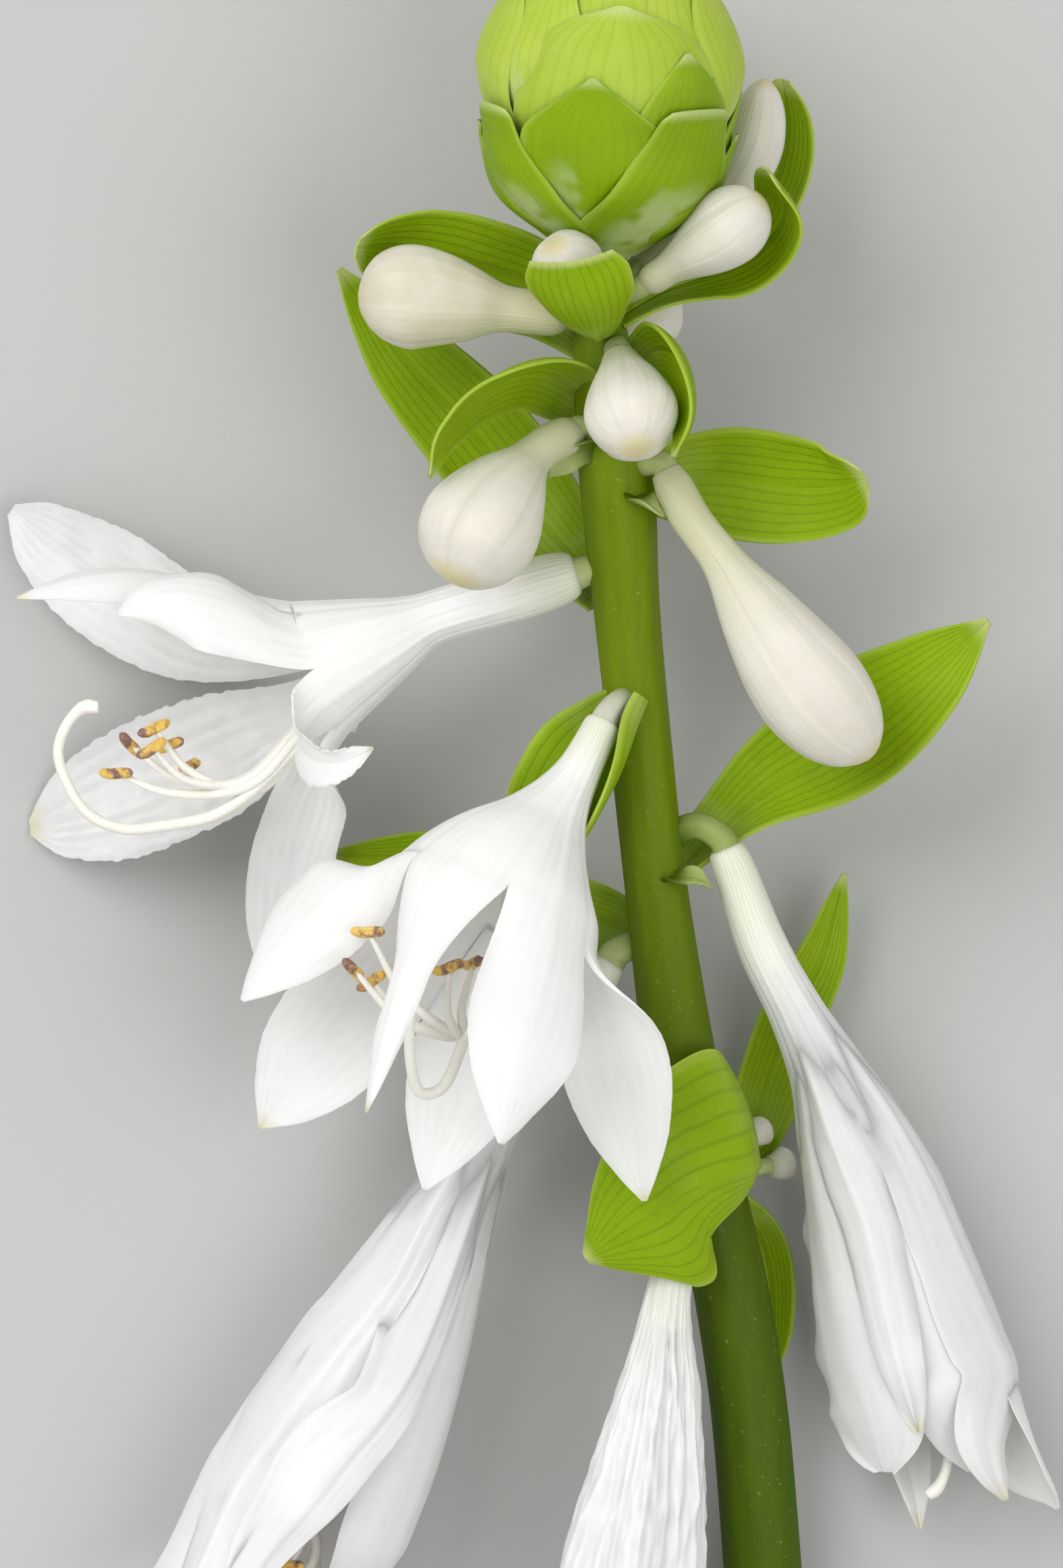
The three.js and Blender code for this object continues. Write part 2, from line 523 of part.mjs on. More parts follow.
// ---- the buds ----
// neck and bulb are radii, and waist is the share of the length that the neck takes.
const BUDS = {
  bud_right_large: {
    from: [7.9, 29.6, 22], stalk: 1.3,
    path: [[12.6, 29.2, 25.2], [14.8, 25.1, 26], [17.7, 21.2, 27], [20.6, 16.8, 27.5], [24.4, 11.3, 27.5],
      [28.3, 6.5, 27], [31.8, 2.5, 26.5]],
    neck: 1.8, bulb: 5.3, waist: 0.3,
  },
  bud_left_front: {
    from: [7.8, 31.4, 22.2], stalk: 1.4,
    path: [[4, 33, 25.2], [1.1, 31.4, 27], [-1.5, 28.6, 29.5], [-4.7, 23.8, 32.5], [-7.4, 19, 34.5]],
    neck: 1.8, bulb: 5.6, waist: 0.28,
  },
  bud_front: {
    from: [7, 37.6, 23], stalk: 1.3,
    path: [[8.2, 40.4, 27.2], [8.8, 38.5, 29.5], [9.7, 35.6, 33], [10.4, 32.5, 36.5]],
    neck: 1.7, bulb: 4.3, waist: 0.1,
  },
  bud_left_upper: {
    from: [6.4, 43, 23.8], stalk: 1.4,
    path: [[3, 43.9, 26.2], [-1.2, 44.3, 27.2], [-5.6, 44.9, 28], [-10.8, 45.6, 28.5],
      [-16.2, 45.2, 28.5]],
    neck: 2, bulb: 5, waist: 0.3,
  },
  bud_middle: {
    from: [6.4, 42.4, 23.8], stalk: 1.2,
    path: [[6.4, 43.6, 28.2], [4.8, 46.4, 30.8], [2.4, 49.2, 34.6]],
    neck: 1.5, bulb: 3.2, waist: 0.1,
  },
  bud_right_top: {
    from: [6.3, 46, 24.2], stalk: 1.1,
    path: [[10, 48.6, 20.6], [16.2, 53.2, 17.6], [20.4, 59, 17.8], [22, 66.2, 19]],
    neck: 1.4, bulb: 2.9, waist: 0.2,
  },
  bud_right_side: {
    from: [6.4, 44.6, 24.1], stalk: 1.1,
    path: [[10.7, 46.8, 26.6], [14.2, 49.1, 28], [18, 51.6, 30], [21.6, 54.8, 31]],
    neck: 1.4, bulb: 3.7, waist: 0.2,
  },
  bud_back: {
    from: [7, 37.6, 23], stalk: 1.2,
    path: [[7.8, 41.2, 19.6], [9.6, 43.2, 13.8], [11.2, 45.4, 4.4]],
    neck: 1.5, bulb: 3.8, waist: 0.2,
  },
  bud_back_low_a: {
    from: [16.2, -36, 12.2], stalk: 0.8,
    path: [[20.3, -33.4, 8.8], [21.2, -33, 8], [22.4, -32.4, 7]], neck: 1, bulb: 1.4, waist: 0.1,
  },
  bud_back_low_b: {
    from: [16.6, -38, 12], stalk: 0.8,
    path: [[22.4, -36.1, 7.8], [23.4, -36, 7], [24.6, -35.6, 6]], neck: 1, bulb: 1.6, waist: 0.1,
  },
};
const BUD_RIBS = 0.035;

function bud({ path, neck, bulb, waist }) {
  const radii = [
    [0, neck], [waist, neck * 0.95], [mix(waist, 1, 0.3), bulb * 0.7], [mix(waist, 1, 0.6), bulb],
    [mix(waist, 1, 0.8), bulb * 0.85], [mix(waist, 1, 0.94), bulb * 0.45], [1, bulb * 0.08],
  ];
  const small = bulb < 2;
  return tube({ path, radii, sides: small ? 6 : 12, rows: small ? 4 : 8, ribs: small ? 0 : BUD_RIBS });
}

// ---- the stem, with the short stalks that carry flowers and buds ----
const STEM_PATH = [
  [23.3, -92, 3.7], [21.9, -74.4, 6.3], [20.5, -58.6, 8.8], [18.7, -47.2, 10.6], [16.1, -35.7, 12.4],
  [13.8, -24.5, 14.2], [11.6, -8.8, 16.6], [10.2, 4, 18.4], [8.9, 16.8, 20.2], [7.9, 29.6, 22],
  [6.8, 38.5, 23.2], [6.3, 45, 24.1], [6.38, 49.05, 24.75],
];
const STEM_RADII = [
  [0, 3.7], [0.24, 3.6], [0.4, 3.4], [0.48, 3.35], [0.59, 2.95], [0.68, 2.95],
  [0.77, 3.1], [0.86, 3.5], [0.925, 2.9], [0.97, 2.3], [1, 2.2],
];

// A stalk leaves the middle of the stem at from and ends just short of the flower or bud.
function stalkPath({ from, path, via = [] }, gap) {
  const [first, second] = path.map(vec);
  const towards = second.clone().sub(first).normalize();
  const end = first.clone().addScaledVector(towards, -gap);
  const before = end.clone().addScaledVector(towards, -1);
  return [from, ...via, before.toArray(), end.toArray()];
}

function stemParts(extra) {
  const radii = STEM_RADII.map(([t, radius]) => [t, radius + extra]);
  const shaft = tube({ path: STEM_PATH, radii, sides: 12, rows: 22 });
  const owners = [...Object.values(FLOWERS), ...Object.values(BUDS)];
  const stalks = owners.map((owner) => {
    const radius = owner.stalk + extra * 1.4;
    const path = stalkPath(owner, SEAT_GAP - extra);
    return tube({ path, radii: [[0, radius * 1.25], [0.6, radius], [1, radius]], sides: 6, rows: 2 });
  });
  return joined([shaft, ...stalks]);
}

// ---- the head: scales in a spiral round a small core ----
const HEAD_AXIS = [[6.4, 49.4, 24.8], [8.2, 80.4, 30.2]];
const HEAD_LENGTH = 31.5;
const HEAD_RADII = [
  [0, 3], [2, 6.6], [4.5, 9.2], [8, 10.3], [12, 10.8], [18, 11.6], [21, 11], [24.6, 9],
  [28.5, 5.4], [31.5, 1.2],
]; // by height
const SCALES = 16;
const SCALE_TURN = 137.5; // degrees from one scale to the next
const FIRST_SCALE = 25; // degrees from the side nearest +Z
const CORE_SHARE = 0.78; // of the head's radius

function head() {
  const [foot, top] = HEAD_AXIS.map(vec);
  const axis = top.clone().sub(foot).normalize();
  const near = UP.clone().addScaledVector(axis, -UP.dot(axis)).normalize();
  const aside = axis.clone().cross(near);
  const at = (angle, height, radius) => {
    const p = foot.clone().addScaledVector(axis, height).addScaledVector(near, radius * Math.cos(angle));
    return p.addScaledVector(aside, radius * Math.sin(angle));
  };
  const radii = HEAD_RADII.map(([height, radius]) => [height / HEAD_LENGTH, radius * CORE_SHARE]);
  const path = [0, 0.5, 1].map((t) => foot.clone().lerp(top, t).toArray());
  const core = tube({ path, radii, sides: 9, rows: 7 });
  const scales = [];
  for (let k = 0; k < SCALES; k += 1) {
    const angle = radians(FIRST_SCALE + SCALE_TURN * k);
    const tip = 13.4 + 1.2 * Math.max(k - 2, 0);
    const root = 0.6 + 0.75 * k;
    const proud = 1.6 - 0.09 * k;
    const midrib = [0, 0.35, 0.7, 1].map((t) => {
      const height = mix(root, tip, t);
      const radius = along(HEAD_RADII, height) * mix(0.72, 0.98, ease(t * 1.6)) + proud * ease(t * 1.3);
      return at(angle, height, radius).toArray();
    });
    const inward = at(angle, 0, 1).sub(at(angle, 0, 0)).negate().toArray();
    const half = Math.min(5.7 + 0.22 * k, 7.6);
    scales.push(blade({ path: midrib, face: inward, half, cup: 36, cupTip: 30, rows: 4, steps: 3 }));
  }
  return joined([core, ...scales]);
}

// ---- the bracts, one below each flower and bud ----
const BRACTS = {
  bract_left_back: {
    path: [[7.4, 17.8, 17.6], [0.8, 25.4, 14.8], [-5.6, 33.4, 16.8], [-12, 40.4, 18.6],
      [-18.1, 48.3, 21]],
    face: [0.2, -0.3, 1], half: 5.4, cup: 38,
  },
  bract_right_upper: {
    path: [[9, 28, 21.6], [13.8, 28.8, 20.6], [18, 28.8, 20.2], [23.8, 27.8, 20.4], [29.2, 27.2, 22.4],
      [31.2, 28.2, 24.6]],
    face: [0, -0.3, 1], half: 5.8, cup: 40,
  },
  bract_right_pointed: {
    path: [[12.4, -9.6, 14.6], [16.6, -5.4, 11.8], [21.9, -0.6, 13.2], [28.3, 3.3, 16.2],
      [36, 9.1, 19], [42.9, 15.3, 21]],
    face: [-0.4, 0.3, 1], faceTip: [-0.1, 0.1, 1], half: 6.4, cup: 62, cupTip: 22,
    outline: [[0, 0.34], [0.2, 0.5], [0.42, 0.84], [0.62, 1], [0.84, 0.62], [1, 0.06]],
  },
  bract_low_wrapped: {
    path: [[21.2, -36, 12.6], [20.2, -36.4, 18.6], [15.8, -37.6, 22.5], [10.4, -40.8, 22.4],
      [5.1, -44.5, 19.8]],
    face: [-0.95, 0, 0.2], faceTip: [0, 0, -1], half: 12, cup: 34, cupTip: 24,
    outline: [[0, 0.15], [0.2, 0.32], [0.38, 0.6], [0.55, 0.95], [0.7, 0.82], [0.86, 0.42], [1, 0.05]],
    otherSide: [[0, 0.75], [0.15, 0.95], [0.35, 1], [0.6, 0.78], [0.82, 0.42], [1, 0.05]],
  },
  bract_behind_left: {
    path: [[12, -15.2, 13], [6.6, -12.8, 10.2], [-1, -11, 10.4], [-8.8, -7.6, 11.4], [-19.2, -6.6, 12.6]],
    face: [0.1, -0.1, 1], half: 4, cup: 34,
  },
  bract_flower_front: {
    path: [[10.4, 7, 19.4], [7.2, 3, 18.9], [4, -1.8, 18.7], [1.6, -6.6, 17.8], [0, -10.6, 16.8]],
    face: [0.1, 0, 1], half: 5.4, cup: 66,
    outline: [[0, 0.5], [0.2, 0.9], [0.45, 1], [0.7, 0.84], [0.88, 0.46], [1, 0.06]],
  },
  bract_bud_right_top: {
    path: [[7.4, 44.8, 21.2], [12, 47.4, 15.8], [19, 51.6, 12.8], [24.4, 57, 13.4], [26, 61.6, 15.2],
      [24.6, 66.2, 18.4]],
    face: [-0.5, 0.2, 1], faceTip: [-0.9, -0.1, 0.5], half: 3.9, cup: 42,
  },
  bract_bud_right_side: {
    path: [[8, 43.4, 24], [11.8, 45.6, 22.8], [16.1, 47.6, 22.6], [21.6, 49, 24.6], [24.9, 52.6, 27.6],
      [24.8, 56.8, 31]],
    face: [-0.2, 0.5, 1], faceTip: [-0.8, 0.3, 0.4], half: 4.1, cup: 44,
    outline: [[0, 0.34], [0.25, 0.6], [0.5, 1], [0.75, 0.84], [0.9, 0.46], [1, 0.06]],
  },
  bract_bud_left_upper: {
    path: [[6, 41.6, 22.4], [1.6, 46, 20.6], [-5.6, 48.6, 21.4], [-12, 50.2, 23], [-17.2, 50.8, 27]],
    face: [0, -0.3, 1], half: 5.3, cup: 38,
  },
  bract_bud_middle: {
    path: [[6.2, 41.8, 28.8], [5.9, 42.4, 31], [4.7, 44.6, 36], [3.9, 48.6, 39.8]],
    face: [0, 0.9, -0.5], half: 5.2, cup: 46,
    outline: [[0, 0.34], [0.3, 0.66], [0.6, 0.95], [0.85, 1], [1, 0.8]],
  },
  bract_bud_left_front: {
    path: [[6.8, 34, 22.6], [5.1, 36, 23], [0.8, 38.5, 27], [-4.4, 36.6, 31], [-8.2, 32.8, 34],
      [-9.5, 28.6, 36]],
    face: [0.2, -0.8, 0.5], half: 4.8, cup: 40,
  },
  bract_bud_front: {
    path: [[8.8, 36.8, 23.8], [12.2, 39.2, 26], [14.7, 38.9, 29.2], [16.3, 36.2, 31.8], [16, 32.4, 34],
      [14.4, 28.9, 35.4]],
    face: [-0.7, -0.6, 0.4], faceTip: [-0.9, 0.1, 0.4], half: 4, cup: 40,
    outline: [[0, 0.34], [0.2, 0.6], [0.45, 1], [0.7, 0.8], [0.88, 0.42], [1, 0.06]],
  },
  bract_bud_back: {
    path: [[7, 44, 20], [5.2, 46.8, 16], [6, 49, 10.6], [7.6, 49.8, 6.2], [9, 49.4, 3.2]],
    face: [0, -1, -0.3], half: 3.5, cup: 40,
  },
  bract_back_upper: {
    path: [[17.6, -36.2, 9.8], [20.4, -33.6, 5.4], [22.8, -27.4, 4.6], [25.2, -20.8, 4.8],
      [27.3, -16.5, 5.4], [29.6, -8.5, 6.4]],
    face: [0.3, 0, 1], half: 3.5, cup: 30,
  },
  bract_back_lower: {
    path: [[18.8, -39, 8.6], [21.8, -43.6, 5], [22.8, -50.4, 4.6], [22.2, -57.3, 5.6]],
    face: [-0.2, 0.2, 1], half: 2.6, cup: 30,
  },
};

// ---- materials ----
function finish(colour, roughness) {
  const side = THREE.DoubleSide;
  return new THREE.MeshStandardMaterial({ color: colour, roughness, metalness: 0, side });
}

const STEM_GREEN = "#6f9a1c";
const BRACT_GREEN = "#78ab24";
const HEAD_GREEN = "#8fbd2c";
const PETAL_WHITE = "#f3f3f1";
const BUD_WHITE = "#f4f2ea";
const STAMEN_CREAM = "#efe9c4";

// ---- the whole ----
const stalk = new THREE.Group();

function add(name, geometry, material) {
  const mesh = new THREE.Mesh(geometry, material);
  mesh.name = name;
  stalk.add(mesh);
  return mesh;
}

add("stem", geometryOf(stemParts(0)), finish(STEM_GREEN, 0.5));
add("head", geometryOf(head()), finish(HEAD_GREEN, 0.5));
for (const [name, flower] of Object.entries(FLOWERS)) add(name, bloom(flower), finish(PETAL_WHITE, 0.55));
for (const [name, group] of Object.entries(STAMENS))
  add(name, geometryOf(stamens(group)), finish(STAMEN_CREAM, 0.5));
for (const [name, shape] of Object.entries(BUDS)) add(name, bud(shape), finish(BUD_WHITE, 0.5));
const clearance = stemParts(SEAT_GAP);
for (const [name, shape] of Object.entries(BRACTS))
  add(name, geometryOf(solidOf(blade(shape)).subtract(clearance)), finish(BRACT_GREEN, 0.5));

// The origin: the middle of the lowest face of the box round the stalk.
stalk.updateMatrixWorld(true);
const box = new THREE.Box3().setFromObject(stalk, true);
const middle = box.getCenter(new THREE.Vector3());
stalk.position.set(-middle.x, -middle.y, -box.min.z);

export default stalk;
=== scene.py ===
# A cut flowering stalk of a hosta, lying on a pale table and seen from above.
# Places are in millimetres round the middle of the stalk, +Y to its head and +Z up; toFrame
# moves them into the frame, in metres.
import math
import bmesh
import bpy
import numpy as np
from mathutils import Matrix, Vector


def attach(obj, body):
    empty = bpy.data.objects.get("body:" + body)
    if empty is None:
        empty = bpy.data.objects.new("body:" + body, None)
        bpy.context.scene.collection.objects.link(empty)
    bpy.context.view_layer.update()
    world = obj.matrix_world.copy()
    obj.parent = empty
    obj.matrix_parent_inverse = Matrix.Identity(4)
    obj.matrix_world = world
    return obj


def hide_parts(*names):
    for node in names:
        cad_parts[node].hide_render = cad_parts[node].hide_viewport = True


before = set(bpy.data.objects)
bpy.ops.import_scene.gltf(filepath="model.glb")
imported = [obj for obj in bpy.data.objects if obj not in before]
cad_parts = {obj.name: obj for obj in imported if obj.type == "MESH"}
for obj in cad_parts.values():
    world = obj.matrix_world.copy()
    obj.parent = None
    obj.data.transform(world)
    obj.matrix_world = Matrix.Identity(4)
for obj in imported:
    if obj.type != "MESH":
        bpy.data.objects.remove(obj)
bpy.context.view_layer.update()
mm = 0.001
middleShift = np.array([-0.162, 7.215, -0.039])
up = np.array([0.0, 0.0, 1.0])
petalCount = 6
curveSteps = 40  # from one given point of a curve to the next
weldGap = 2e-6  # points nearer than this are made one, in metres
leastEdge = 1e-7
creaseAngle = 50  # edges sharper than this are shaded hard


def toFrame(points):
    return (np.asarray(points, float) + middleShift) * mm


# small maths, on numbers or arrays
def unit(v):
    return v / np.maximum(np.linalg.norm(v, axis=-1, keepdims=True), 1e-9)


def ease(x):
    x = np.clip(x, 0, 1)
    return x * x * (3 - 2 * x)


def mix(a, b, share):
    return a + (b - a) * share


def bump(x, width):
    return np.exp(-((x / width) ** 2))


# a smooth value at t through knots [share, value]
def along(knots, t):
    x, y = np.asarray(knots, float).T
    last = len(x) - 1
    index = np.arange(len(x))
    before, after = np.maximum(index - 1, 0), np.minimum(index + 1, last)
    slope = (y[after] - y[before]) / (x[after] - x[before])
    i = np.searchsorted(x[1:-1], t, side="left")
    span = x[i + 1] - x[i]
    u = np.clip((t - x[i]) / span, 0, 1)
    rise = y[i] * (1 + 2 * u) * (1 - u) ** 2 + y[i + 1] * u * u * (3 - 2 * u)
    return rise + span * u * (1 - u) * (slope[i] * (1 - u) - slope[i + 1] * u)


# a curve by share of its length, which runs on straight past its ends
class Path:
    def __init__(self, samples):
        samples = np.asarray(samples, float)
        steps = np.linalg.norm(np.diff(samples, axis=0), axis=1)
        self.length = steps.sum()
        self.share = np.concatenate([[0], np.cumsum(steps)]) / self.length
        self.samples = samples
        self.ways = unit(np.gradient(samples, self.share, axis=0))

    def at(self, t):
        t = np.asarray(t, float)
        inside = np.clip(t, 0, 1)
        p = np.stack([np.interp(inside, self.share, c) for c in self.samples.T], -1)
        return p + ((t - inside) * self.length)[..., None] * self.way(t)

    def way(self, t):
        inside = np.clip(np.asarray(t, float), 0, 1)
        return unit(np.stack([np.interp(inside, self.share, c) for c in self.ways.T], -1))


# a smooth curve through the points, with even tension
def through(points):
    points = np.asarray(points, float)
    first, last = 2 * points[0] - points[1], 2 * points[-1] - points[-2]
    points = np.vstack([first, points, last])
    gaps = np.sqrt(np.linalg.norm(np.diff(points, axis=0), axis=1))
    samples = []
    for i in range(1, len(points) - 2):
        a, b, c, d = points[i - 1:i + 3]
        ga, gb, gc = gaps[i - 1:i + 2]
        m1 = ((b - a) / ga - (c - a) / (ga + gb) + (c - b) / gb) * gb
        m2 = ((c - b) / gb - (d - b) / (gb + gc) + (d - c) / gc) * gb
        w = np.linspace(0, 1, curveSteps, endpoint=False)[:, None]
        samples.append(b + m1 * w + (3 * (c - b) - 2 * m1 - m2) * w**2 + (2 * (b - c) + m1 + m2) * w**3)
    return Path(np.vstack([*samples, points[-2]]))


def bezier(a, b, c, d):
    w = np.linspace(0, 1, 161)[:, None]
    return Path(a * (1 - w) ** 3 + 3 * b * w * (1 - w) ** 2 + 3 * c * w * w * (1 - w) + d * w**3)


# two directions square to way: the one nearest up, and the one beside it
def sidesOf(way):
    near = unit(up - (way @ up)[..., None] * way)
    return near, np.cross(way, near)


# the direction nearest v that is square to way
def squared(v, way):
    return unit(v - (v * way).sum(-1)[..., None] * way)


# p moved round an arc of radius bend that starts towards across and turns away from outward
def arced(p, across, outward, bend, turn):
    p = p + across * (bend * np.sin(turn))[..., None]
    return p - outward * (bend * (1 - np.cos(turn)))[..., None]


def together(a, b):
    return np.broadcast_arrays(np.asarray(a, float), np.asarray(b, float))


# places across a sheet, from -1 to 1, and along it, from 0 to 1
def grid(steps, rows):
    return together(np.linspace(-1, 1, steps + 1)[None, :], np.linspace(0, 1, rows + 1)[:, None])


# the way a sheet looks at each of its points
def facing(points):
    return unit(np.cross(np.gradient(points, axis=1), np.gradient(points, axis=0)))


# closed sheets gathered for one piece, with marks that the finishes read
class Skin:
    def __init__(self):
        self.points, self.faces, self.marks, self.tones = [], [], [], []
        self.count = 0

    def put(self, points, across, length, tone=0.0, shade=0.0):
        points = np.asarray(points, float)
        shape = points.shape[:-1]
        marks = np.stack(np.broadcast_arrays(across, length, np.asarray(shade, float)), -1)
        self.points.append(points.reshape(-1, 3))
        self.marks.append(np.broadcast_to(marks, shape + (3,)).reshape(-1, 3))
        self.tones.append(np.broadcast_to(np.asarray(tone, float), shape).ravel())
        ids = self.count + np.arange(int(np.prod(shape))).reshape(shape)
        self.count += ids.size
        return ids

    def fill(self, ids):
        quads = np.stack([ids[:-1, :-1], ids[:-1, 1:], ids[1:, 1:], ids[1:, :-1]], -1)
        self.faces.extend(quads.reshape(-1, 4).tolist())

    def strip(self, a, b):
        quads = np.stack([a[:-1], a[1:], b[1:], b[:-1]], -1)
        self.faces.extend(quads.tolist())

    def fan(self, ring, pole):
        self.faces.extend([[int(a), int(b), int(pole)] for a, b in zip(ring[:-1], ring[1:])])

    # both faces of a sheet and its four edges
    def sheet(self, front, back, across, length, tone=0.0):
        a = self.put(front, across, length, tone)
        b = self.put(back, across, length, tone)
        self.fill(a)
        self.fill(b)
        self.strip(a[0], b[0])
        self.hem(a, b)

    # the edges of a sheet, but for its first row
    def hem(self, a, b):
        for one, other in ((a[-1], b[-1]), (a[:, 0], b[:, 0]), (a[:, -1], b[:, -1])):
            self.strip(one, other)

    # the piece that stands for a node of the frame
    def make(self, node, slot):
        name = "".join(word.capitalize() for word in node.split("_"))
        mesh = bpy.data.meshes.new(name)
        mesh.from_pydata(toFrame(np.vstack(self.points)).tolist(), [], self.faces)
        marks = mesh.attributes.new("mark", "FLOAT_VECTOR", "POINT")
        marks.data.foreach_set("vector", np.vstack(self.marks).ravel())
        tones = mesh.attributes.new("tone", "FLOAT", "POINT")
        tones.data.foreach_set("value", np.concatenate(self.tones))
        work = bmesh.new()
        work.from_mesh(mesh)
        bmesh.ops.remove_doubles(work, verts=work.verts, dist=weldGap)
        bmesh.ops.dissolve_degenerate(work, edges=work.edges, dist=leastEdge)
        bmesh.ops.recalc_face_normals(work, faces=work.faces)
        work.to_mesh(mesh)
        work.free()
        mesh.shade_smooth()
        mesh.set_sharp_from_angle(angle=math.radians(creaseAngle))
        mesh.materials.append(finishes[slot])
        piece = bpy.data.objects.new(name, mesh)
        bpy.context.scene.collection.objects.link(piece)
        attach(piece, "root")
        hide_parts(node)


def ring(path, t, angle, radius):
    near, aside = sidesOf(path.way(t))
    upward, sideways = (radius * np.cos(angle))[..., None], (radius * np.sin(angle))[..., None]
    return path.at(t) + near * upward + aside * sideways


# a round closed body along a path; shape(angle, t) scales the radius
def roundBody(skin, path, radii, sides=24, rows=40, shape=None, tone=0.0, shade=0.0, spread=1.0):
    t = np.linspace(0, 1, rows + 1)[:, None] ** spread
    angle = np.linspace(0, 2 * np.pi, sides + 1)[None, :]
    t, angle = np.broadcast_arrays(t, angle)
    radius = along(radii, t) * (1 if shape is None else shape(angle, t))
    across = np.abs(2 * ((angle * petalCount / (2 * np.pi) + 0.5) % 1) - 1)
    ids = skin.put(ring(path, t, angle, radius), across, t, tone, shade)
    skin.fill(ids)
    for row, end in ((0, 0.0), (-1, 1.0)):
        skin.fan(ids[row], skin.put(path.at(np.array([end])), 0, end, tone, shade)[0])


# finishes: every colour comes from marks along and across a piece and from noise in its own space
class Finish:
    # radius, weight and scale say how light spreads under the skin
    def __init__(self, name, radius=(1, 1, 1), weight=0.0, scale=0.005, gloss=0.5, rough=0.5):
        self.material = bpy.data.materials.new(name)
        self.material.use_nodes = True
        self.tree = self.material.node_tree
        self.shader = self.tree.nodes["Principled BSDF"]
        self.shader.inputs["Subsurface Radius"].default_value = radius
        self.shader.inputs["Subsurface Weight"].default_value = weight
        self.shader.inputs["Subsurface Scale"].default_value = scale
        self.shader.inputs["Specular IOR Level"].default_value = gloss
        self.shader.inputs["Roughness"].default_value = rough
        mark = self.node("ShaderNodeAttribute", attribute_name="mark")
        split = self.node("ShaderNodeSeparateXYZ", [mark.outputs["Vector"]])
        self.across, self.length, self.shade = split.outputs
        self.tone = self.node("ShaderNodeAttribute", attribute_name="tone").outputs["Fac"]
        self.place = self.node("ShaderNodeTexCoord").outputs["Object"]

    def node(self, kind, inputs=(), **settings):
        made = self.tree.nodes.new(kind)
        for key, value in settings.items():
            setattr(made, key, value)
        for key, value in (inputs.items() if isinstance(inputs, dict) else enumerate(inputs)):
            if isinstance(value, bpy.types.NodeSocket):
                self.tree.links.new(value, made.inputs[key])
            else:
                made.inputs[key].default_value = value
        return made

    def sum(self, operation, *values):
        return self.node("ShaderNodeMath", values, operation=operation).outputs[0]

    def times(self, a, b):
        return self.sum("MULTIPLY", a, b)

    # 0 up to 1 while value goes from low to high
    def rise(self, value, low, high):
        inputs = {"Value": value, "From Min": low, "From Max": high}
        return self.node("ShaderNodeMapRange", inputs, interpolation_type="SMOOTHSTEP").outputs["Result"]

    def noise(self, size, detail=3.0, rough=0.55, stretch=(1, 1, 1)):
        shrunk = self.node("ShaderNodeMapping", {"Vector": self.place, "Scale": stretch}).outputs[0]
        inputs = {"Vector": shrunk, "Scale": 1 / (size * mm), "Detail": detail, "Roughness": rough}
        return self.node("ShaderNodeTexNoise", inputs).outputs["Fac"]

    # fine lines along a piece, as many across it as count
    def veins(self, count, waver, size=9):
        drift = self.times(self.noise(size, 1), waver)
        phase = self.times(self.sum("ADD", self.across, drift), count * 2 * math.pi)
        return self.sum("MULTIPLY_ADD", self.sum("SINE", phase), 0.5, 0.5)

    def blend(self, share, a, b):
        a, b = [(*c, 1) if isinstance(c, tuple) else c for c in (a, b)]
        return self.node("ShaderNodeMix", {0: share, 6: a, 7: b}, data_type="RGBA").outputs[2]

    # lays a colour over the rest, where share is high
    def lay(self, share, most, colour):
        self.colour = self.blend(self.times(share, most), self.colour, colour)

    def use(self, height, depth, rough=None):
        bump = self.node("ShaderNodeBump", {"Height": height, "Distance": depth * mm})
        for key, value in (("Base Color", self.colour), ("Normal", bump.outputs[0]), ("Roughness", rough)):
            if value is not None:
                self.tree.links.new(value, self.shader.inputs[key])
        return self.material


def makePetalWhite():
    f = Finish("petal white", radius=(1, 0.97, 0.88), weight=0.55, scale=0.0016, gloss=0.35)
    f.colour = f.blend(f.noise(6, 4), (0.88, 0.876, 0.855), (0.94, 0.937, 0.925))
    veins = f.times(f.veins(4, 0.5, 14), f.rise(f.noise(4, 2), 0.35, 0.7))
    f.lay(veins, 0.2, (0.66, 0.67, 0.62))
    # grey where the shade mark is set: the withered flower's own faded colour, and painted shade on the low
    # lobes of the open flower, as if a dark ground showed through them
    fadeAndSeeThroughShade = f.rise(f.sum("ADD", f.noise(3, 4), f.times(veins, 0.5)), 0.1, 0.9)
    f.lay(f.times(f.shade, fadeAndSeeThroughShade), 0.5, (0.55, 0.55, 0.54))
    # painted shade: the thin free margins are greyed as if a dark ground showed through them
    margin = f.times(f.rise(f.across, 0.82, 1), f.rise(f.length, 0.5, 0.62))
    f.lay(margin, 0.22, (0.70, 0.71, 0.72))
    streaks = f.sum("MULTIPLY_ADD", f.rise(f.veins(3, 0.6, 12), 0.2, 1), 0.35, 0.4)
    f.lay(f.rise(f.length, 0.2, 0), streaks, (0.62, 0.65, 0.42))
    f.lay(f.times(f.rise(f.length, 0.965, 1), f.tone), 0.7, (0.70, 0.66, 0.30))
    grain = f.sum("ADD", f.times(veins, 0.5), f.times(f.noise(1, 4), 0.6))
    return f.use(grain, 0.04, f.rise(f.noise(2.5), -0.7, 2))


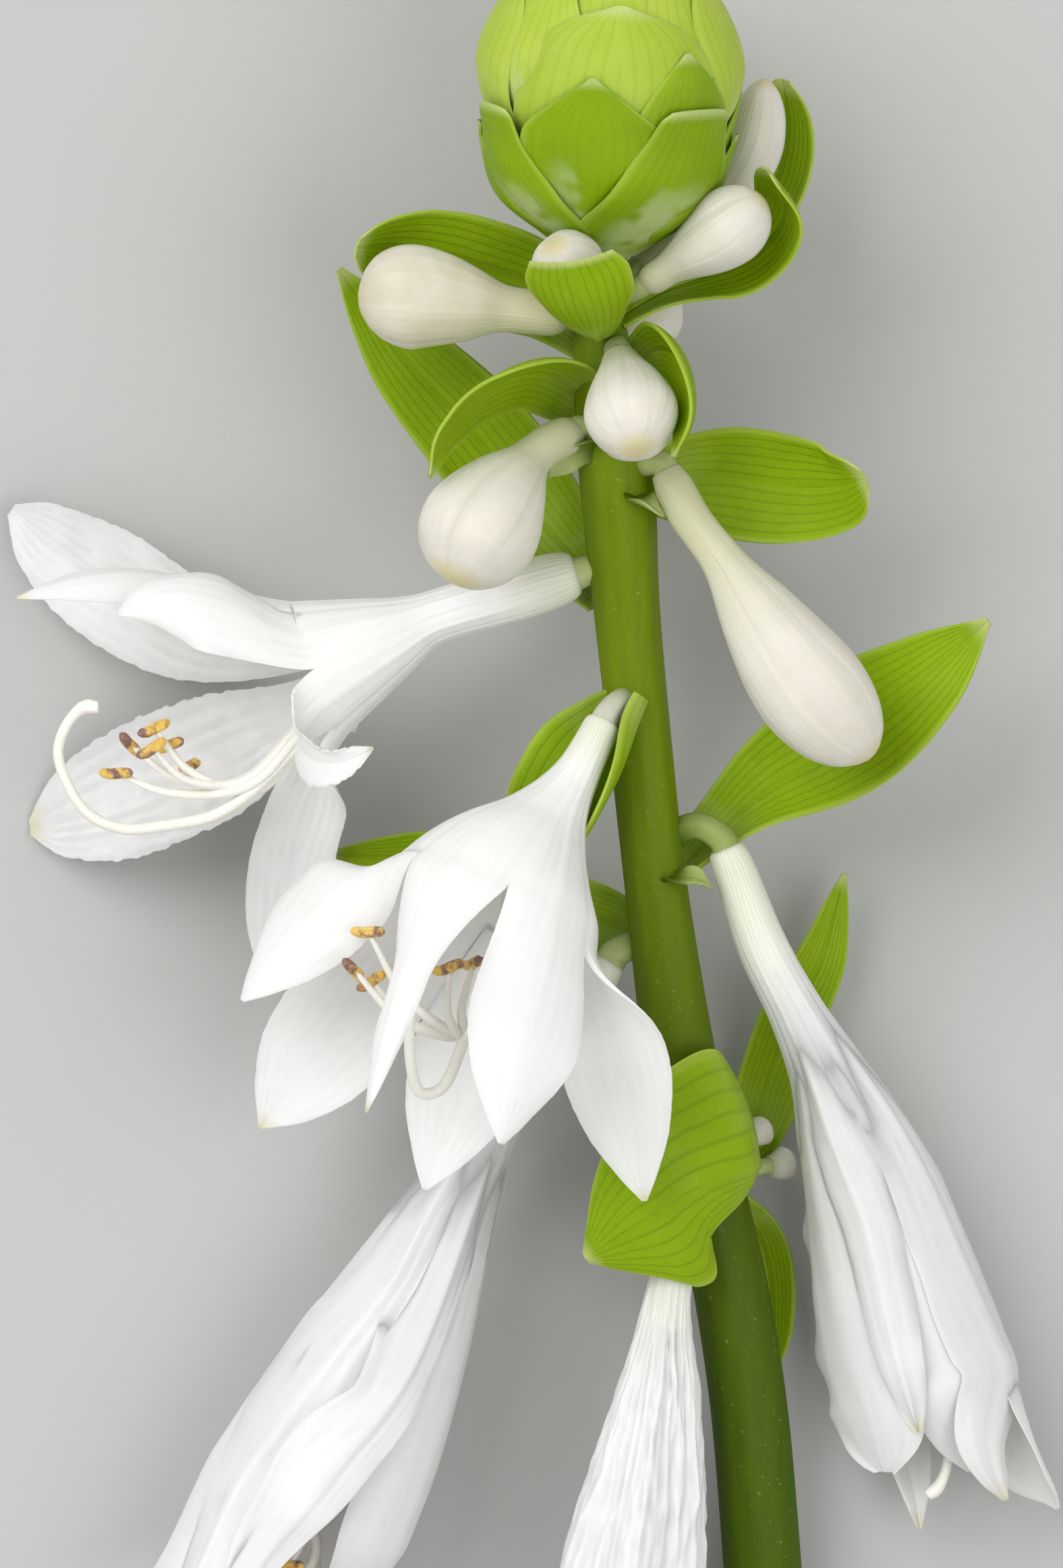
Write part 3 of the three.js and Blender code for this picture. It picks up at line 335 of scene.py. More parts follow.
def makeBudCream():
    f = Finish("bud cream", radius=(1, 0.96, 0.8), weight=0.4, scale=0.002, gloss=0.3)
    f.colour = f.blend(f.noise(5, 4), (0.66, 0.63, 0.53), (0.78, 0.755, 0.69))
    bloom = f.times(f.rise(f.noise(4, 3), 0.5, 0.8), f.rise(f.length, 0.5, 0.95))
    f.lay(bloom, 0.5, (0.62, 0.60, 0.63))  # a lilac tint
    f.lay(f.rise(f.across, 0.75, 1), 0.25, (0.58, 0.57, 0.45))
    f.lay(f.rise(f.sum("SUBTRACT", f.length, f.tone), 0.3, -0.2), 0.6, (0.48, 0.50, 0.2))  # greener neck
    f.lay(f.rise(f.length, 0.95, 1), 0.7, (0.66, 0.58, 0.26))
    f.lay(f.times(f.shade, f.rise(f.noise(4, 2), 0.2, 0.6)), 0.6, (0.58, 0.53, 0.34))
    grain = f.sum("ADD", f.noise(1.4, 4), f.times(f.veins(3, 0.5), 0.4))
    return f.use(grain, 0.04, f.rise(f.noise(2.5), -0.7, 2))


def makeBractGreen():
    f = Finish("bract green", radius=(0.6, 1, 0.05), weight=0.12, scale=0.001, gloss=0.15)
    f.colour = f.blend(f.noise(7, 4), (0.18, 0.30, 0.001), (0.29, 0.45, 0.002))
    f.lay(f.rise(f.noise(0.6, 3), 0.4, 0.8), 0.25, (0.34, 0.48, 0.01))
    lines = f.rise(f.veins(6, 0.12), 0.8, 1)
    f.lay(lines, 0.28, (0.09, 0.17, 0.001))
    f.lay(f.times(f.rise(f.length, 0.4, 0.05), f.rise(f.noise(5, 2), 0.35, 0.65)), 0.45, (0.44, 0.54, 0.16))
    f.lay(f.rise(f.across, 0.88, 1), 0.45, (0.48, 0.60, 0.10))
    f.lay(f.rise(f.length, 0.94, 1), 0.6, (0.60, 0.64, 0.26))
    grain = f.sum("SUBTRACT", f.noise(0.7, 4), f.times(lines, 0.5))
    return f.use(grain, 0.05, f.rise(f.noise(1.5), -0.8, 1.8))


def makeHeadGreen():
    f = Finish("head green", radius=(0.6, 1, 0.1), weight=0.12, scale=0.001, gloss=0.18)
    low = f.blend(f.noise(6, 4), (0.17, 0.29, 0.001), (0.27, 0.42, 0.002))
    high = f.blend(f.noise(5, 4), (0.34, 0.49, 0.02), (0.50, 0.62, 0.10))
    f.colour = f.blend(f.rise(f.tone, 0.2, 0.95), low, high)
    lines = f.rise(f.veins(6, 0.16), 0.7, 1)
    f.lay(lines, 0.12, (0.14, 0.25, 0.005))
    within = f.times(f.rise(f.length, 0.6, 0.3), f.rise(f.across, 0.75, 0.3))
    f.lay(f.times(within, f.rise(f.noise(5, 2), 0.4, 0.6)), 0.62, (0.55, 0.64, 0.33))  # whitish bloom
    f.lay(f.rise(f.across, 0.84, 1), 0.35, (0.48, 0.60, 0.12))
    f.lay(f.rise(f.length, 0.92, 1), 0.55, (0.66, 0.72, 0.34))
    grain = f.sum("SUBTRACT", f.noise(0.7, 4), f.times(lines, 0.3))
    return f.use(grain, 0.05, f.rise(f.noise(1.5), -0.8, 1.8))


def makeStemGreen():
    f = Finish("stem green", radius=(0.6, 1, 0.05), weight=0.1, scale=0.001, gloss=0.15)
    streaks = f.noise(1.2, 4, 0.6, (1, 0.08, 1))
    upper = f.blend(streaks, (0.11, 0.18, 0.001), (0.19, 0.27, 0.002))
    # painted shade: the stem's colour darkens lower down, where it lay in shade
    lower = f.blend(streaks, (0.042, 0.085, 0.001), (0.085, 0.14, 0.001))
    f.colour = f.blend(f.rise(f.length, 0.25, 0.8), lower, upper)
    pale = f.blend(f.noise(3, 3), (0.34, 0.42, 0.10), (0.52, 0.56, 0.30))
    f.lay(f.rise(f.tone, 0.1, 0.5), f.rise(f.length, 0.3, 0.75), pale)
    f.lay(f.times(f.rise(f.tone, 0.6, 1), f.rise(f.length, 0.3, 0.8)), 0.85, (0.60, 0.59, 0.52))
    f.lay(f.rise(f.noise(0.5, 1), 0.68, 0.78), 0.4, (0.30, 0.38, 0.06))  # specks
    pith = f.times(f.rise(f.length, 0.003, 0), f.rise(f.tone, 0.1, 0))
    f.lay(pith, f.rise(f.noise(0.8, 3), 0.1, 0.6), (0.42, 0.50, 0.18))
    return f.use(streaks, 0.08, f.rise(streaks, -0.9, 1.7))


def makeStamenCream():
    f = Finish("stamen cream", radius=(1, 0.98, 0.92), weight=0.15, scale=0.0006)
    strands = f.blend(f.noise(3, 3), (0.88, 0.86, 0.76), (0.94, 0.93, 0.87))
    gold = f.blend(f.noise(0.9, 3), (0.76, 0.45, 0.06), (0.85, 0.60, 0.16))
    dark = f.rise(f.sum("ADD", f.noise(1.1, 3), f.times(f.length, 0.25)), 0.58, 0.78)
    f.colour = f.blend(f.rise(f.tone, 0.6, 0.9), strands, f.blend(dark, gold, (0.24, 0.12, 0.10)))
    return f.use(f.noise(0.35, 4), 0.1, f.rise(f.noise(1.5), -0.5, 2))


finishes = {
    "petal_white": makePetalWhite(),
    "bud_white": makeBudCream(),
    "bract_green": makeBractGreen(),
    "head_green": makeHeadGreen(),
    "stem_green": makeStemGreen(),
    "stamen_cream": makeStamenCream(),
}
print("finishes made")


# the flowers: from is where the stalk leaves the middle of the stem, stalk its radius, petalAt the
# angle of the first petal round the tube, and lobes the free petals or wraps the long faded ones
flowerLook = {
    # open, seen from its side
    "flower_left": {
        "from": [8.8, 20.6, 20.7], "stalk": 1.6,
        "path": [[4.3, 19.8, 20.5], [-4.4, 17.1, 20.3], [-9.5, 15.5, 20.1], [-13.3, 13.8, 20],
            [-20, 10.9, 19.6]],
        "radii": [[0, 2.1], [0.08, 2.55], [0.2, 2.65], [0.36, 2.45], [0.52, 2.4], [0.6, 2.7], [0.74, 4.1],
            [0.88, 5.5], [1, 6.7]],
        "petalAt": 30,
        "lobes": [
            {"tip": [-38.7, 15.9, 27], "half": 5, "face": [-0.2, -0.5, -0.8], "end": [-0.85, -0.5, -0.15],
                "cup": 44, "lead": [-26.4, 13.9, 27.1], "pull": 0.55},
            {"tip": [-48.3, 17.5, 22], "half": 4.6, "face": [0.1, -0.85, -0.5], "end": [-1, -0.4, 0],
                "cup": 34, "lead": [-29, 17.6, 20.6], "pull": 0.5},
            # shade on these lower lobes is painted shade, greying them as if a dark ground showed through
            {"tip": [-49.2, 26, 2.6], "half": 5.8, "face": [-0.1, -0.3, 0.95], "cup": 30, "turn": 2,
                "blunt": True, "ragged": 0.008, "shade": 0.8},
            {"tip": [-47.5, -4.2, 0.5], "half": 6.9, "face": [-0.1, 0.3, 0.95], "cup": 28, "turn": 2,
                "blunt": True, "ragged": 0.012, "shade": 1},
            {"tip": [-23.8, -19, 10.6], "lead": [-21.6, -1, 13], "half": 4.1, "face": [-0.2, 0, 0.95],
                "end": [0, -1, -0.1], "cup": 24, "turn": 3, "blunt": True, "shade": 0.4},
            {"tip": [-14.8, 3.4, 31], "half": 2.8, "face": [-0.3, -0.2, 0.9], "end": [1, 0.7, -0.2],
                "cup": 32, "reach": 0.85, "pull": 0.8, "turn": 1, "ripple": 0.8, "ragged": 0.03},
        ],
    },
    # open, its mouth turned up
    "flower_front": {
        "from": [9.9, 7.2, 18.8], "via": [[8.6, 7.8, 21.6]], "stalk": 1.4, "pale": 1,
        "path": [[6.8, 5.9, 23.5], [4.4, 1.2, 25], [1.4, -3.5, 26.6], [-1.2, -7.6, 28], [-3.2, -11.4, 29]],
        "radii": [[0, 1.7], [0.12, 1.8], [0.28, 2.1], [0.42, 2.9], [0.56, 4.4], [0.72, 6.9], [0.87, 9.1],
            [1, 10.3]],
        "petalAt": -150,
        "lobes": [
            {"tip": [-10, -38, 24], "lead": [-5.4, -25.6, 20.6], "half": 6.3, "face": [0, 0.3, 1], "cup": 22},
            {"tip": [10.6, -39, 28], "lead": [7.6, -21, 29.8], "half": 5.7, "face": [-0.4, 0, 0.9], "cup": 26,
                "turn": 2.4, "ripple": 0.12},
            {"tip": [-2.8, -33.4, 43], "reach": 0.22, "half": 6, "turn": 1.6, "face": [-0.2, 0.3, -0.9],
                "cup": 28},
            {"tip": [-15.4, -30.5, 41.8], "lead": [-10.9, -11.4, 42.6], "half": 2.6, "face": [0.6, 0.2, -0.6],
                "cup": 50, "turn": 1.4, "flareAt": 0.52},
            {"tip": [-27.1, -20.2, 30], "half": 5.6, "face": [0.3, -0.5, -0.8], "cup": 36, "turn": 3,
                "lead": [-18.6, -9, 31.4], "ripple": 0.12},
            {"tip": [-25.5, -32.3, 20], "half": 5.9, "face": [0.2, 0.1, 1], "cup": 24, "turn": 2,
                "outline": [[0, 0], [0.25, 0.75], [0.45, 1], [0.7, 0.97], [0.88, 0.56], [1, 0.04]]},
        ],
    },
    # faded and nearly closed
    "flower_right_closed": {
        "from": [11.4, -6.6, 16.6], "via": [[15.2, -3.9, 17.1]], "stalk": 1.4, "pale": 0.32,
        "path": [[18.2, -6, 17], [19.2, -8.4, 16.8], [21.7, -15.2, 16], [25, -21.6, 14.5], [28.2, -28, 13],
            [32, -38.3, 11], [34.4, -47.2, 10], [37.4, -57, 9.2]],
        "radii": [[0, 1.9], [0.17, 2.3], [0.3, 2.5], [0.42, 3.5], [0.52, 4.9], [0.62, 6], [0.8, 7.4],
            [1, 8.2]],
        "floorAt": 0.222, "pleat": 0.04, "tubeTo": 0.58, "petalAt": 30,
        "wraps": [
            {"from": 0.3, "angle": [[0.3, 52], [0.6, 58], [0.8, 50], [1, 44]], "lift": [[0.48, 0.03], [1, 0]],
                "open": [[0.3, 1], [0.55, 1.04], [0.8, 1.4], [1, 1.6]], "half": 9.4,
                "outline": [[0, 0.2], [0.25, 0.38], [0.55, 0.7], [0.76, 1], [0.88, 0.86], [0.95, 0.6],
                    [0.99, 0.28], [1, 0.14]],
                "otherSide": [[0, 0.2], [0.25, 0.38], [0.55, 0.56], [0.76, 0.62], [0.88, 0.54], [0.95, 0.42],
                    [1, 0.14]], "end": [[33.4, -64.8, 13.6]], "tipBend": 12, "ripple": 0.4},
            {"from": 0.3, "angle": [[0.3, -12], [0.6, -22], [1, -26]], "lift": [[0.48, 0.06], [1, -0.1]],
                "half": 6.4, "outline": [[0, 0.3], [0.3, 0.55], [0.6, 0.9], [0.8, 1], [0.93, 0.6], [1, 0.15]],
                "end": [[42, -64.6, 12.2]], "tipBend": 6},
            {"from": 0.3, "angle": [[0.3, 195], [0.6, 218], [1, 244]], "lift": [[0.48, 0.03], [1, 0.1]],
                "half": 7.6,
                "outline": [[0, 0.26], [0.3, 0.5], [0.6, 0.9], [0.82, 1], [0.94, 0.6], [1, 0.06]],
                "end": [[47.4, -63.6, 8], [49.8, -68.4, 8]], "tipBend": 6, "ripple": 0.25},
            {"from": 0.3, "angle": [[0.3, 140], [1, 148]], "lift": [[0.48, 0.12], [0.7, 0.35], [1, 0.2]],
                "half": 4.8,
                "outline": [[0, 0.4], [0.3, 0.7], [0.6, 1], [0.8, 0.75], [0.93, 0.35], [1, 0.05]],
                "end": [[35.6, -64.6, 4.6], [36.7, -70.5, 5.4]], "tipBend": 2.6, "keel": 0.3, "crease": 0.06,
                "tone": 1},
            {"from": 0.28, "angle": [[0.28, 310], [0.6, 308], [1, 300]],
                "lift": [[0.46, 0.15], [0.6, 0.35], [1, 0.6]], "half": 6.4,
                "outline": [[0, 0.3], [0.25, 0.5], [0.5, 0.78], [0.7, 0.92], [0.88, 0.8], [0.96, 0.44],
                    [1, 0.08]], "end": [[43.7, -62.6, 14.4], [44.7, -67.4, 14]], "tipBend": 6, "keel": 0.3,
                "tone": 1},
            {"from": 0.26, "upTo": 0.94, "angle": [[0.26, 34], [0.5, 22], [0.7, 10], [0.94, 12]],
                "lift": [[0.46, 0.2], [0.58, 0.6], [0.75, 1.3], [0.94, 1.7]],
                "open": [[0.26, 1], [0.5, 0.8], [0.7, 0.4], [0.94, 0.3]], "half": 3.4,
                "outline": [[0, 0.5], [0.25, 0.8], [0.5, 1], [0.75, 0.9], [0.92, 0.55], [1, 0.12]],
                "end": [[36.4, -60.9, 17.2]], "tipBend": 1.7, "keel": 0.3, "crease": 0.06, "tone": 1},
        ],
    },
    # withered and wrinkled
    "flower_low_middle_withered": {
        "from": [16.6, -38, 12], "via": [[15.4, -38.6, 15]], "stalk": 1.5,
        "path": [[14.8, -40.8, 16.8], [14, -43.4, 16.6], [12.9, -47.9, 16.5], [12, -56.8, 15.8],
            [10.7, -66.4, 14.8], [9.4, -74.7, 13.5], [8.7, -82, 12.4]],
        "radii": [[0, 1.8], [0.1, 1.9], [0.25, 2.6], [0.45, 4.5], [0.65, 6.1], [0.85, 7], [1, 6.6]],
        "floorAt": 0.25, "pleat": 0.1, "shade": 0.5, "wrinkle": 0.22, "steps": 44, "tubeRows": 220,
        "petalAt": 0,
        "lobes": [
            {"tip": [8.2, -93.2, 13.6], "half": 3.3, "face": [0, 0, -1], "cup": 40},
            {"tip": [5.2, -92, 12.6], "half": 3.3, "face": [1, 0, -1], "cup": 36},
            {"tip": [5.6, -94, 9.4], "half": 3.3, "face": [1, 0, 0.5], "cup": 36},
            {"tip": [8.4, -95, 7.6], "half": 3.3, "face": [0, 0, 1], "cup": 36},
            {"tip": [11.2, -93, 9.2], "half": 3.3, "face": [-1, 0, 0.5], "cup": 36},
            {"tip": [11.2, -92, 12.6], "half": 3.3, "face": [-1, 0, -1], "cup": 36},
        ],
    },
    # fading, its mouth still open
    "flower_low_left": {
        "from": [12.4, -14.4, 15.8], "stalk": 1.5,
        "path": [[7.5, -16.5, 14.4], [4, -21.6, 13.8], [-1.2, -28, 12.8], [-6.4, -37.6, 11.8],
            [-12.4, -50.4, 11.2], [-17.6, -61.1, 11], [-21.2, -68, 11]],
        "radii": [[0, 1.8], [0.15, 2.1], [0.3, 2.5], [0.42, 3.6], [0.55, 5.4], [0.7, 7.5], [0.87, 9.4],
            [1, 10.2]],
        "floorAt": 0.25, "pleat": 0.03, "tubeTo": 0.56, "petalAt": 30,
        "wraps": [
            {"from": 0.28, "angle": [[0.28, 84], [1, 88]], "lift": [[0.46, 0.03], [1, 0]], "half": 8,
                "outline": [[0, 0.28], [0.3, 0.5], [0.6, 0.86], [0.8, 1], [0.93, 0.6], [1, 0.08]],
                "end": [[-35.6, -74, 11.4], [-39.9, -78.8, 9]], "tipBend": 7, "ripple": 0.25},
            {"from": 0.28, "angle": [[0.28, 215], [1, 212]], "lift": [[0.46, 0.03], [1, -0.1]], "half": 8.4,
                "outline": [[0, 0.3], [0.3, 0.55], [0.6, 0.9], [0.8, 1], [0.93, 0.6], [1, 0.1]],
                "end": [[-21.8, -78, 1.4], [-22.9, -85.6, 1.2]], "tipBend": 7},
            {"from": 0.28, "angle": [[0.28, 150], [1, 152]], "lift": [[0.46, 0.12], [0.7, 0.35], [1, 0.3]],
                "half": 6.4,
                "outline": [[0, 0.36], [0.3, 0.65], [0.6, 1], [0.8, 0.8], [0.93, 0.4], [1, 0.05]],
                "end": [[-30, -76, 2], [-31.8, -84.4, 1.2]], "tipBend": 4, "keel": 0.3, "crease": 0.06,
                "tone": 1},
            {"from": 0.28, "angle": [[0.28, 285], [0.6, 292], [1, 292]], "lift": [[0.46, 0.08], [1, 0.1]],
                "half": 8.4,
                "outline": [[0, 0.26], [0.25, 0.46], [0.5, 0.8], [0.72, 1], [0.9, 0.7], [1, 0.06]],
                "end": [[-14.8, -77, 11.6], [-13.4, -84, 10]], "tipBend": 6, "crease": 0.12, "ripple": 0.2,
                "tone": 1},
            {"from": 0.26, "angle": [[0.26, -26], [0.5, -26], [0.7, -22], [0.8, -14], [0.9, -5], [1, 0]],
                "lift": [[0.46, 0.12], [0.62, 0.35], [0.7, 0.5], [0.79, 1.4], [1, 1.9]], "half": 5.4,
                "outline": [[0, 0.26], [0.2, 0.55], [0.4, 0.9], [0.5, 0.8], [0.56, 0.72], [0.6, 0.86],
                    [0.66, 1], [0.72, 1], [0.78, 0.86], [0.88, 0.6], [0.96, 0.3], [1, 0.06]],
                "otherSide": [[0, 0.26], [0.2, 0.38], [0.44, 0.46], [0.6, 0.54], [0.7, 0.55], [0.78, 0.42],
                    [0.88, 0.32], [0.96, 0.18], [1, 0.06]],
                "end": [[-25.2, -72.8, 21.4], [-28.6, -79.6, 19.4]], "tipBend": 5, "keel": 0.35,
                "crease": 0.12, "lip": [[0, 0], [0.35, 0.05], [0.55, 0.45], [0.8, 0.6], [1, 0]]},
            {"from": 0.26,
                "angle": [[0.26, 24], [0.5, 20], [0.6, 17], [0.7, 22], [0.82, 31], [0.95, 35], [1, 37]],
                "lift": [[0.46, 0.2], [0.6, 0.6], [0.7, 0.7], [0.79, 0.3], [1, 0.4]], "half": 8,
                "outline": [[0, 0.2], [0.2, 0.42], [0.33, 0.65], [0.45, 0.9], [0.56, 0.98], [0.64, 0.75],
                    [0.7, 0.54], [0.8, 0.42], [0.92, 0.22], [1, 0.05]],
                "otherSide": [[0, 0.2], [0.2, 0.25], [0.33, 0.27], [0.43, 0.31], [0.48, 0.4], [0.53, 0.54],
                    [0.6, 0.57], [0.7, 0.5], [0.85, 0.3], [1, 0.05]],
                "end": [[-31.4, -74.6, 18.8], [-35.4, -82.4, 16.6]], "tipBend": 5, "keel": 0.35, "tone": 1},
        ],
    },
}

# a free petal: lead and end steer its midrib to the tip, face is where its inner side looks,
# turn how soon it looks there, half its half width from flareAt on, and cup its roll in degrees
lobeDefaults = {"reach": 0.35, "pull": 0.3, "turn": 1.2, "cup": 25, "ragged": 0.003, "flareAt": 0.45}
lobeOutline = [[0, 0], [0.25, 0.75], [0.45, 1], [0.7, 0.78], [0.9, 0.34], [1, 0.05]]
bluntOutline = [[0, 0], [0.25, 0.75], [0.45, 1], [0.7, 0.95], [0.9, 0.6], [1, 0.12]]


class Bell:
    def __init__(self, flower):
        self.path = through(flower["path"])
        self.radii = flower["radii"]
        self.pleat = flower.get("pleat", 0)
        self.first = math.radians(flower["petalAt"]) - math.pi / petalCount

    def at(self, angle, t):
        angle, t = together(angle, t)
        inside = np.clip(t, 0, 1)
        fold = 1 + self.pleat * ease(inside) * np.cos(petalCount * (angle - self.first) - np.pi)
        return ring(self.path, t, angle, along(self.radii, inside) * fold)

    # the free part of a petal, over s from -1 to 1 and t from 0 to 1
    def lobe(self, index, lobe):
        look = {**lobeDefaults, **lobe}
        middle = self.first + math.pi / petalCount * (2 * index + 1)
        root = self.at(middle, 1)
        rise = unit(root - self.at(middle, 0.96))
        round = unit(self.at(middle + 1e-3, 1) - self.at(middle - 1e-3, 1))
        tip = np.array(look["tip"], float)
        length = np.linalg.norm(tip - root)
        lead = np.array(look["lead"], float) if "lead" in look else root + rise * length * look["reach"]
        arrive = unit(np.array(look["end"], float)) if "end" in look else unit(tip - lead)
        midrib = bezier(root, lead, tip - arrive * length * look["pull"], tip)
        rimHalf = along(self.radii, 1.0) * math.pi / petalCount
        outline = look.get("outline", bluntOutline if look.get("blunt") else lobeOutline)
        out = unit(np.cross(round, rise))

        def surface(s, t):
            s, t = together(s, t)
            inside = np.clip(t, 0, 1)
            way = midrib.way(inside)
            across = unit(np.cross(way, -np.array(look["face"], float)))
            across = round + (across - round) * ease(inside * look["turn"])[..., None]
            across = squared(across, way)
            outward = np.cross(across, way)
            wide = look["half"] * along(outline, inside)
            teeth = np.sin(83 * inside + 3 * s) + 0.8 * np.sin(131 * inside) + 0.7 * np.sin(197 * inside + s)
            flareAt = look["flareAt"]
            start = mix(rimHalf, look["half"] * along(outline, flareAt), ease(inside / flareAt))
            swell = np.where(inside < flareAt, start, wide)
            swell = swell * (1 + look["ragged"] * teeth * ease(3 * inside))
            roll = mix(math.pi / petalCount, math.radians(look["cup"]), ease(inside * 1.4))
            bend = swell / roll
            p = arced(midrib.at(inside), across, outward, bend, s * roll)
            arc = rimHalf / (math.pi / petalCount)
            flat = s * math.pi / petalCount
            onArc = arced(root, round, out, arc, flat)
            return p + (self.at(middle + flat, 1) - onArc) * (1 - ease(inside * 2))[..., None]

        return surface


petalLook = {
    "steps": 20,  # facets across a petal
    "tubeRows": 64,
    "freeRows": 96,
    "wall": [0.6, 0.3],  # thickness in the tube and in the free part
    "wrapWall": 0.32,  # thickness of a long petal of a faded flower
    "edge": 0.1,  # thickness at the free margin
    "groove": 0.14,  # depth of the seams between petals
    "keel": 0.14,  # height of the midrib on the outside
    "ripple": 0.3,
    "footRound": 0.035,  # share of the tube that its rounded foot takes
    "floorAt": 0.333,  # share of the tube below its hollow
}


# uneven lines along a petal, finer with more waves
def creases(angle, t, waves, seed):
    random = np.random.default_rng(seed)
    total = 0
    for wave in waves:
        phase, drift, pace = random.uniform(0, 6.28, 3)
        line = np.sin(wave * angle + phase + 0.8 * np.sin(2.5 * t + drift))
        total = total + line * np.sin(pace + (2 + pace) * t)
    return total / len(waves)


# the sharp, wandering folds of withered skin
def wrinkles(angle, t):
    random = np.random.default_rng(5)
    total = 0
    for wave, height in ((9, 1.0), (14, 0.8), (21, 0.6), (33, 0.45), (47, 0.3)):
        phase, drift, pace = random.uniform(0, 6.28, 3)
        wander = 1.3 * np.sin(3.1 * t + drift) + 0.5 * np.sin(9.7 * t + pace) + 0.22 * np.sin(31 * t + phase)
        fold = 1 - 2 * np.abs(np.sin(0.5 * wave * angle + phase + wander)) ** 0.8
        total = total + height * fold * (0.6 + 0.4 * np.sin((5 + pace) * t + 3 * angle + drift))
    return total + 0.35 * np.sin(58 * t + 4 * np.sin(5 * angle)) * np.sin(11 * angle + 9 * t)


# the tube of a flower, as far as upTo of its bell
def putTube(skin, bell, flower, upTo, seed):
    look = petalLook
    steps, rows = flower.get("steps", look["steps"]), flower.get("tubeRows", look["tubeRows"])
    columns = petalCount * steps
    angle = bell.first + 2 * np.pi * np.arange(columns) / columns
    share = np.tile(np.linspace(-1, 1, steps + 1)[:-1], petalCount)
    angle, t = np.meshgrid(angle, np.linspace(0, 1, rows + 1) ** 1.15 * upTo)
    p = bell.at(angle, t)
    centre = bell.path.at(t)
    shoulder = np.sqrt(np.clip(1 - (1 - np.clip(t / look["footRound"], 0, 1)) ** 2, 0, 1))
    p = centre + (p - centre) * mix(0.72, 1, shoulder)[..., None]
    relief = look["keel"] * bump(share, 0.16) - look["groove"] * bump(1 - np.abs(share), 0.12)
    relief = relief * ease(2.5 * t)
    relief = relief + 0.03 * creases(angle, t, (7, 11, 17, 23, 31), seed) * ease(4 * t)
    if "wrinkle" in flower:
        relief = relief + flower["wrinkle"] * wrinkles(angle, t) * ease(2.2 * t)
    if upTo < 1:
        relief = relief * mix(1, 0.25, ease((t - upTo + 0.34) / 0.2)) - 0.6 * ease((t - upTo + 0.05) / 0.05)
    p = p + unit(p - centre) * relief[..., None]
    normal = unit(np.cross(np.roll(p, -1, 1) - np.roll(p, 1, 1), np.gradient(p, axis=0)))
    inner = p - normal * look["wall"][0]
    across = np.broadcast_to(np.abs(share), t.shape)
    length = t * 0.5
    shade = flower.get("shade", 0)
    outerIds = skin.put(p, across, length, 0, shade)
    innerIds = skin.put(inner, across, length, 0, shade)
    floorRow = int(np.searchsorted(t[:, 0], flower.get("floorAt", look["floorAt"])))
    loop = np.r_[0:columns, 0]
    skin.fill(outerIds[:, loop])
    skin.fill(innerIds[floorRow:, loop])
    skin.fan(outerIds[0, loop], skin.put(bell.path.at(np.array([0.0])), 0, 0)[0])
    floor = bell.path.at(t[floorRow, :1])
    skin.fan(innerIds[floorRow, loop], skin.put(floor, 0, 0.2)[0])
    if upTo < 1:
        skin.strip(outerIds[-1, loop], innerIds[-1, loop])
    return p, inner


# an open flower: the tube runs on into six free petals
def putOpenPetals(skin, bell, flower, p, inner):
    look = petalLook
    steps = flower.get("steps", look["steps"])
    columns = petalCount * steps
    gs, gt = grid(steps, look["freeRows"])
    for index, lobe in enumerate(flower["lobes"]):
        q = bell.lobe(index, lobe)(gs, gt)
        near = (index * steps + np.arange(steps + 1)) % columns
        joined = np.concatenate([p[-3:-1, near], q])
        side = facing(joined)[2:]
        lift = look["keel"] * bump(gs, 0.16) * (1 - 0.7 * gt)
        lift = lift - look["groove"] * bump(1 - np.abs(gs), 0.12) * (1 - ease(3 * gt))
        wave = np.sin(7.3 * gt + 2.3 * index + np.sign(gs))
        wave = wave + 0.5 * np.sin(17 * gt + 1.1 * index - np.sign(gs))
        lift = lift + lobe.get("ripple", look["ripple"]) * np.abs(gs) ** 4 * wave * ease(2 * gt) * (1 - gt**4)
        lift = lift + 0.06 * creases(4 * gs, gt, (1.1, 1.9, 2.7, 4.1), 40 + index) * ease(3 * gt)
        if "wrinkle" in flower:
            angle = bell.first + math.pi / petalCount * (2 * index + 1 + gs)
            lift = lift + flower["wrinkle"] * wrinkles(angle, 1 + 0.3 * gt)
        q = q + side * lift[..., None]
        q[0] = p[-1, near]
        joined = np.concatenate([p[-2:-1, near], q])
        side = unit(np.cross(np.gradient(q, axis=1), np.gradient(joined, axis=0)[1:]))
        thick = mix(look["wall"][0], look["wall"][1], ease(2 * gt))
        thick = mix(thick, look["edge"], np.maximum(np.abs(gs) ** 5 * ease(3 * gt), gt**12))
        back = q - side * thick[..., None]
        back[0] = inner[-1, near]
        tone = 1.0 if index % 2 else 0.0
        shade = flower.get("shade", 0) + lobe.get("shade", 0) * ease(3 * gt)
        marks = np.abs(gs), 0.5 + 0.5 * gt, tone, shade
        a = skin.put(q, *marks)
        b = skin.put(back, *marks)
        skin.fill(a)
        skin.fill(b)
        skin.hem(a, b)


wrapSteps = {"knots": 14, "across": 28, "along": 120}
wrapDefaults = {
    "upTo": 1,  # share of the bell that it follows
    "sunk": -0.35,  # lift at its root
    "open": [[0, 1], [1, 1]],  # how much flatter than the bell
    "keel": 0.1, "crease": 0.1, "ripple": 0.1, "tone": 0,
}


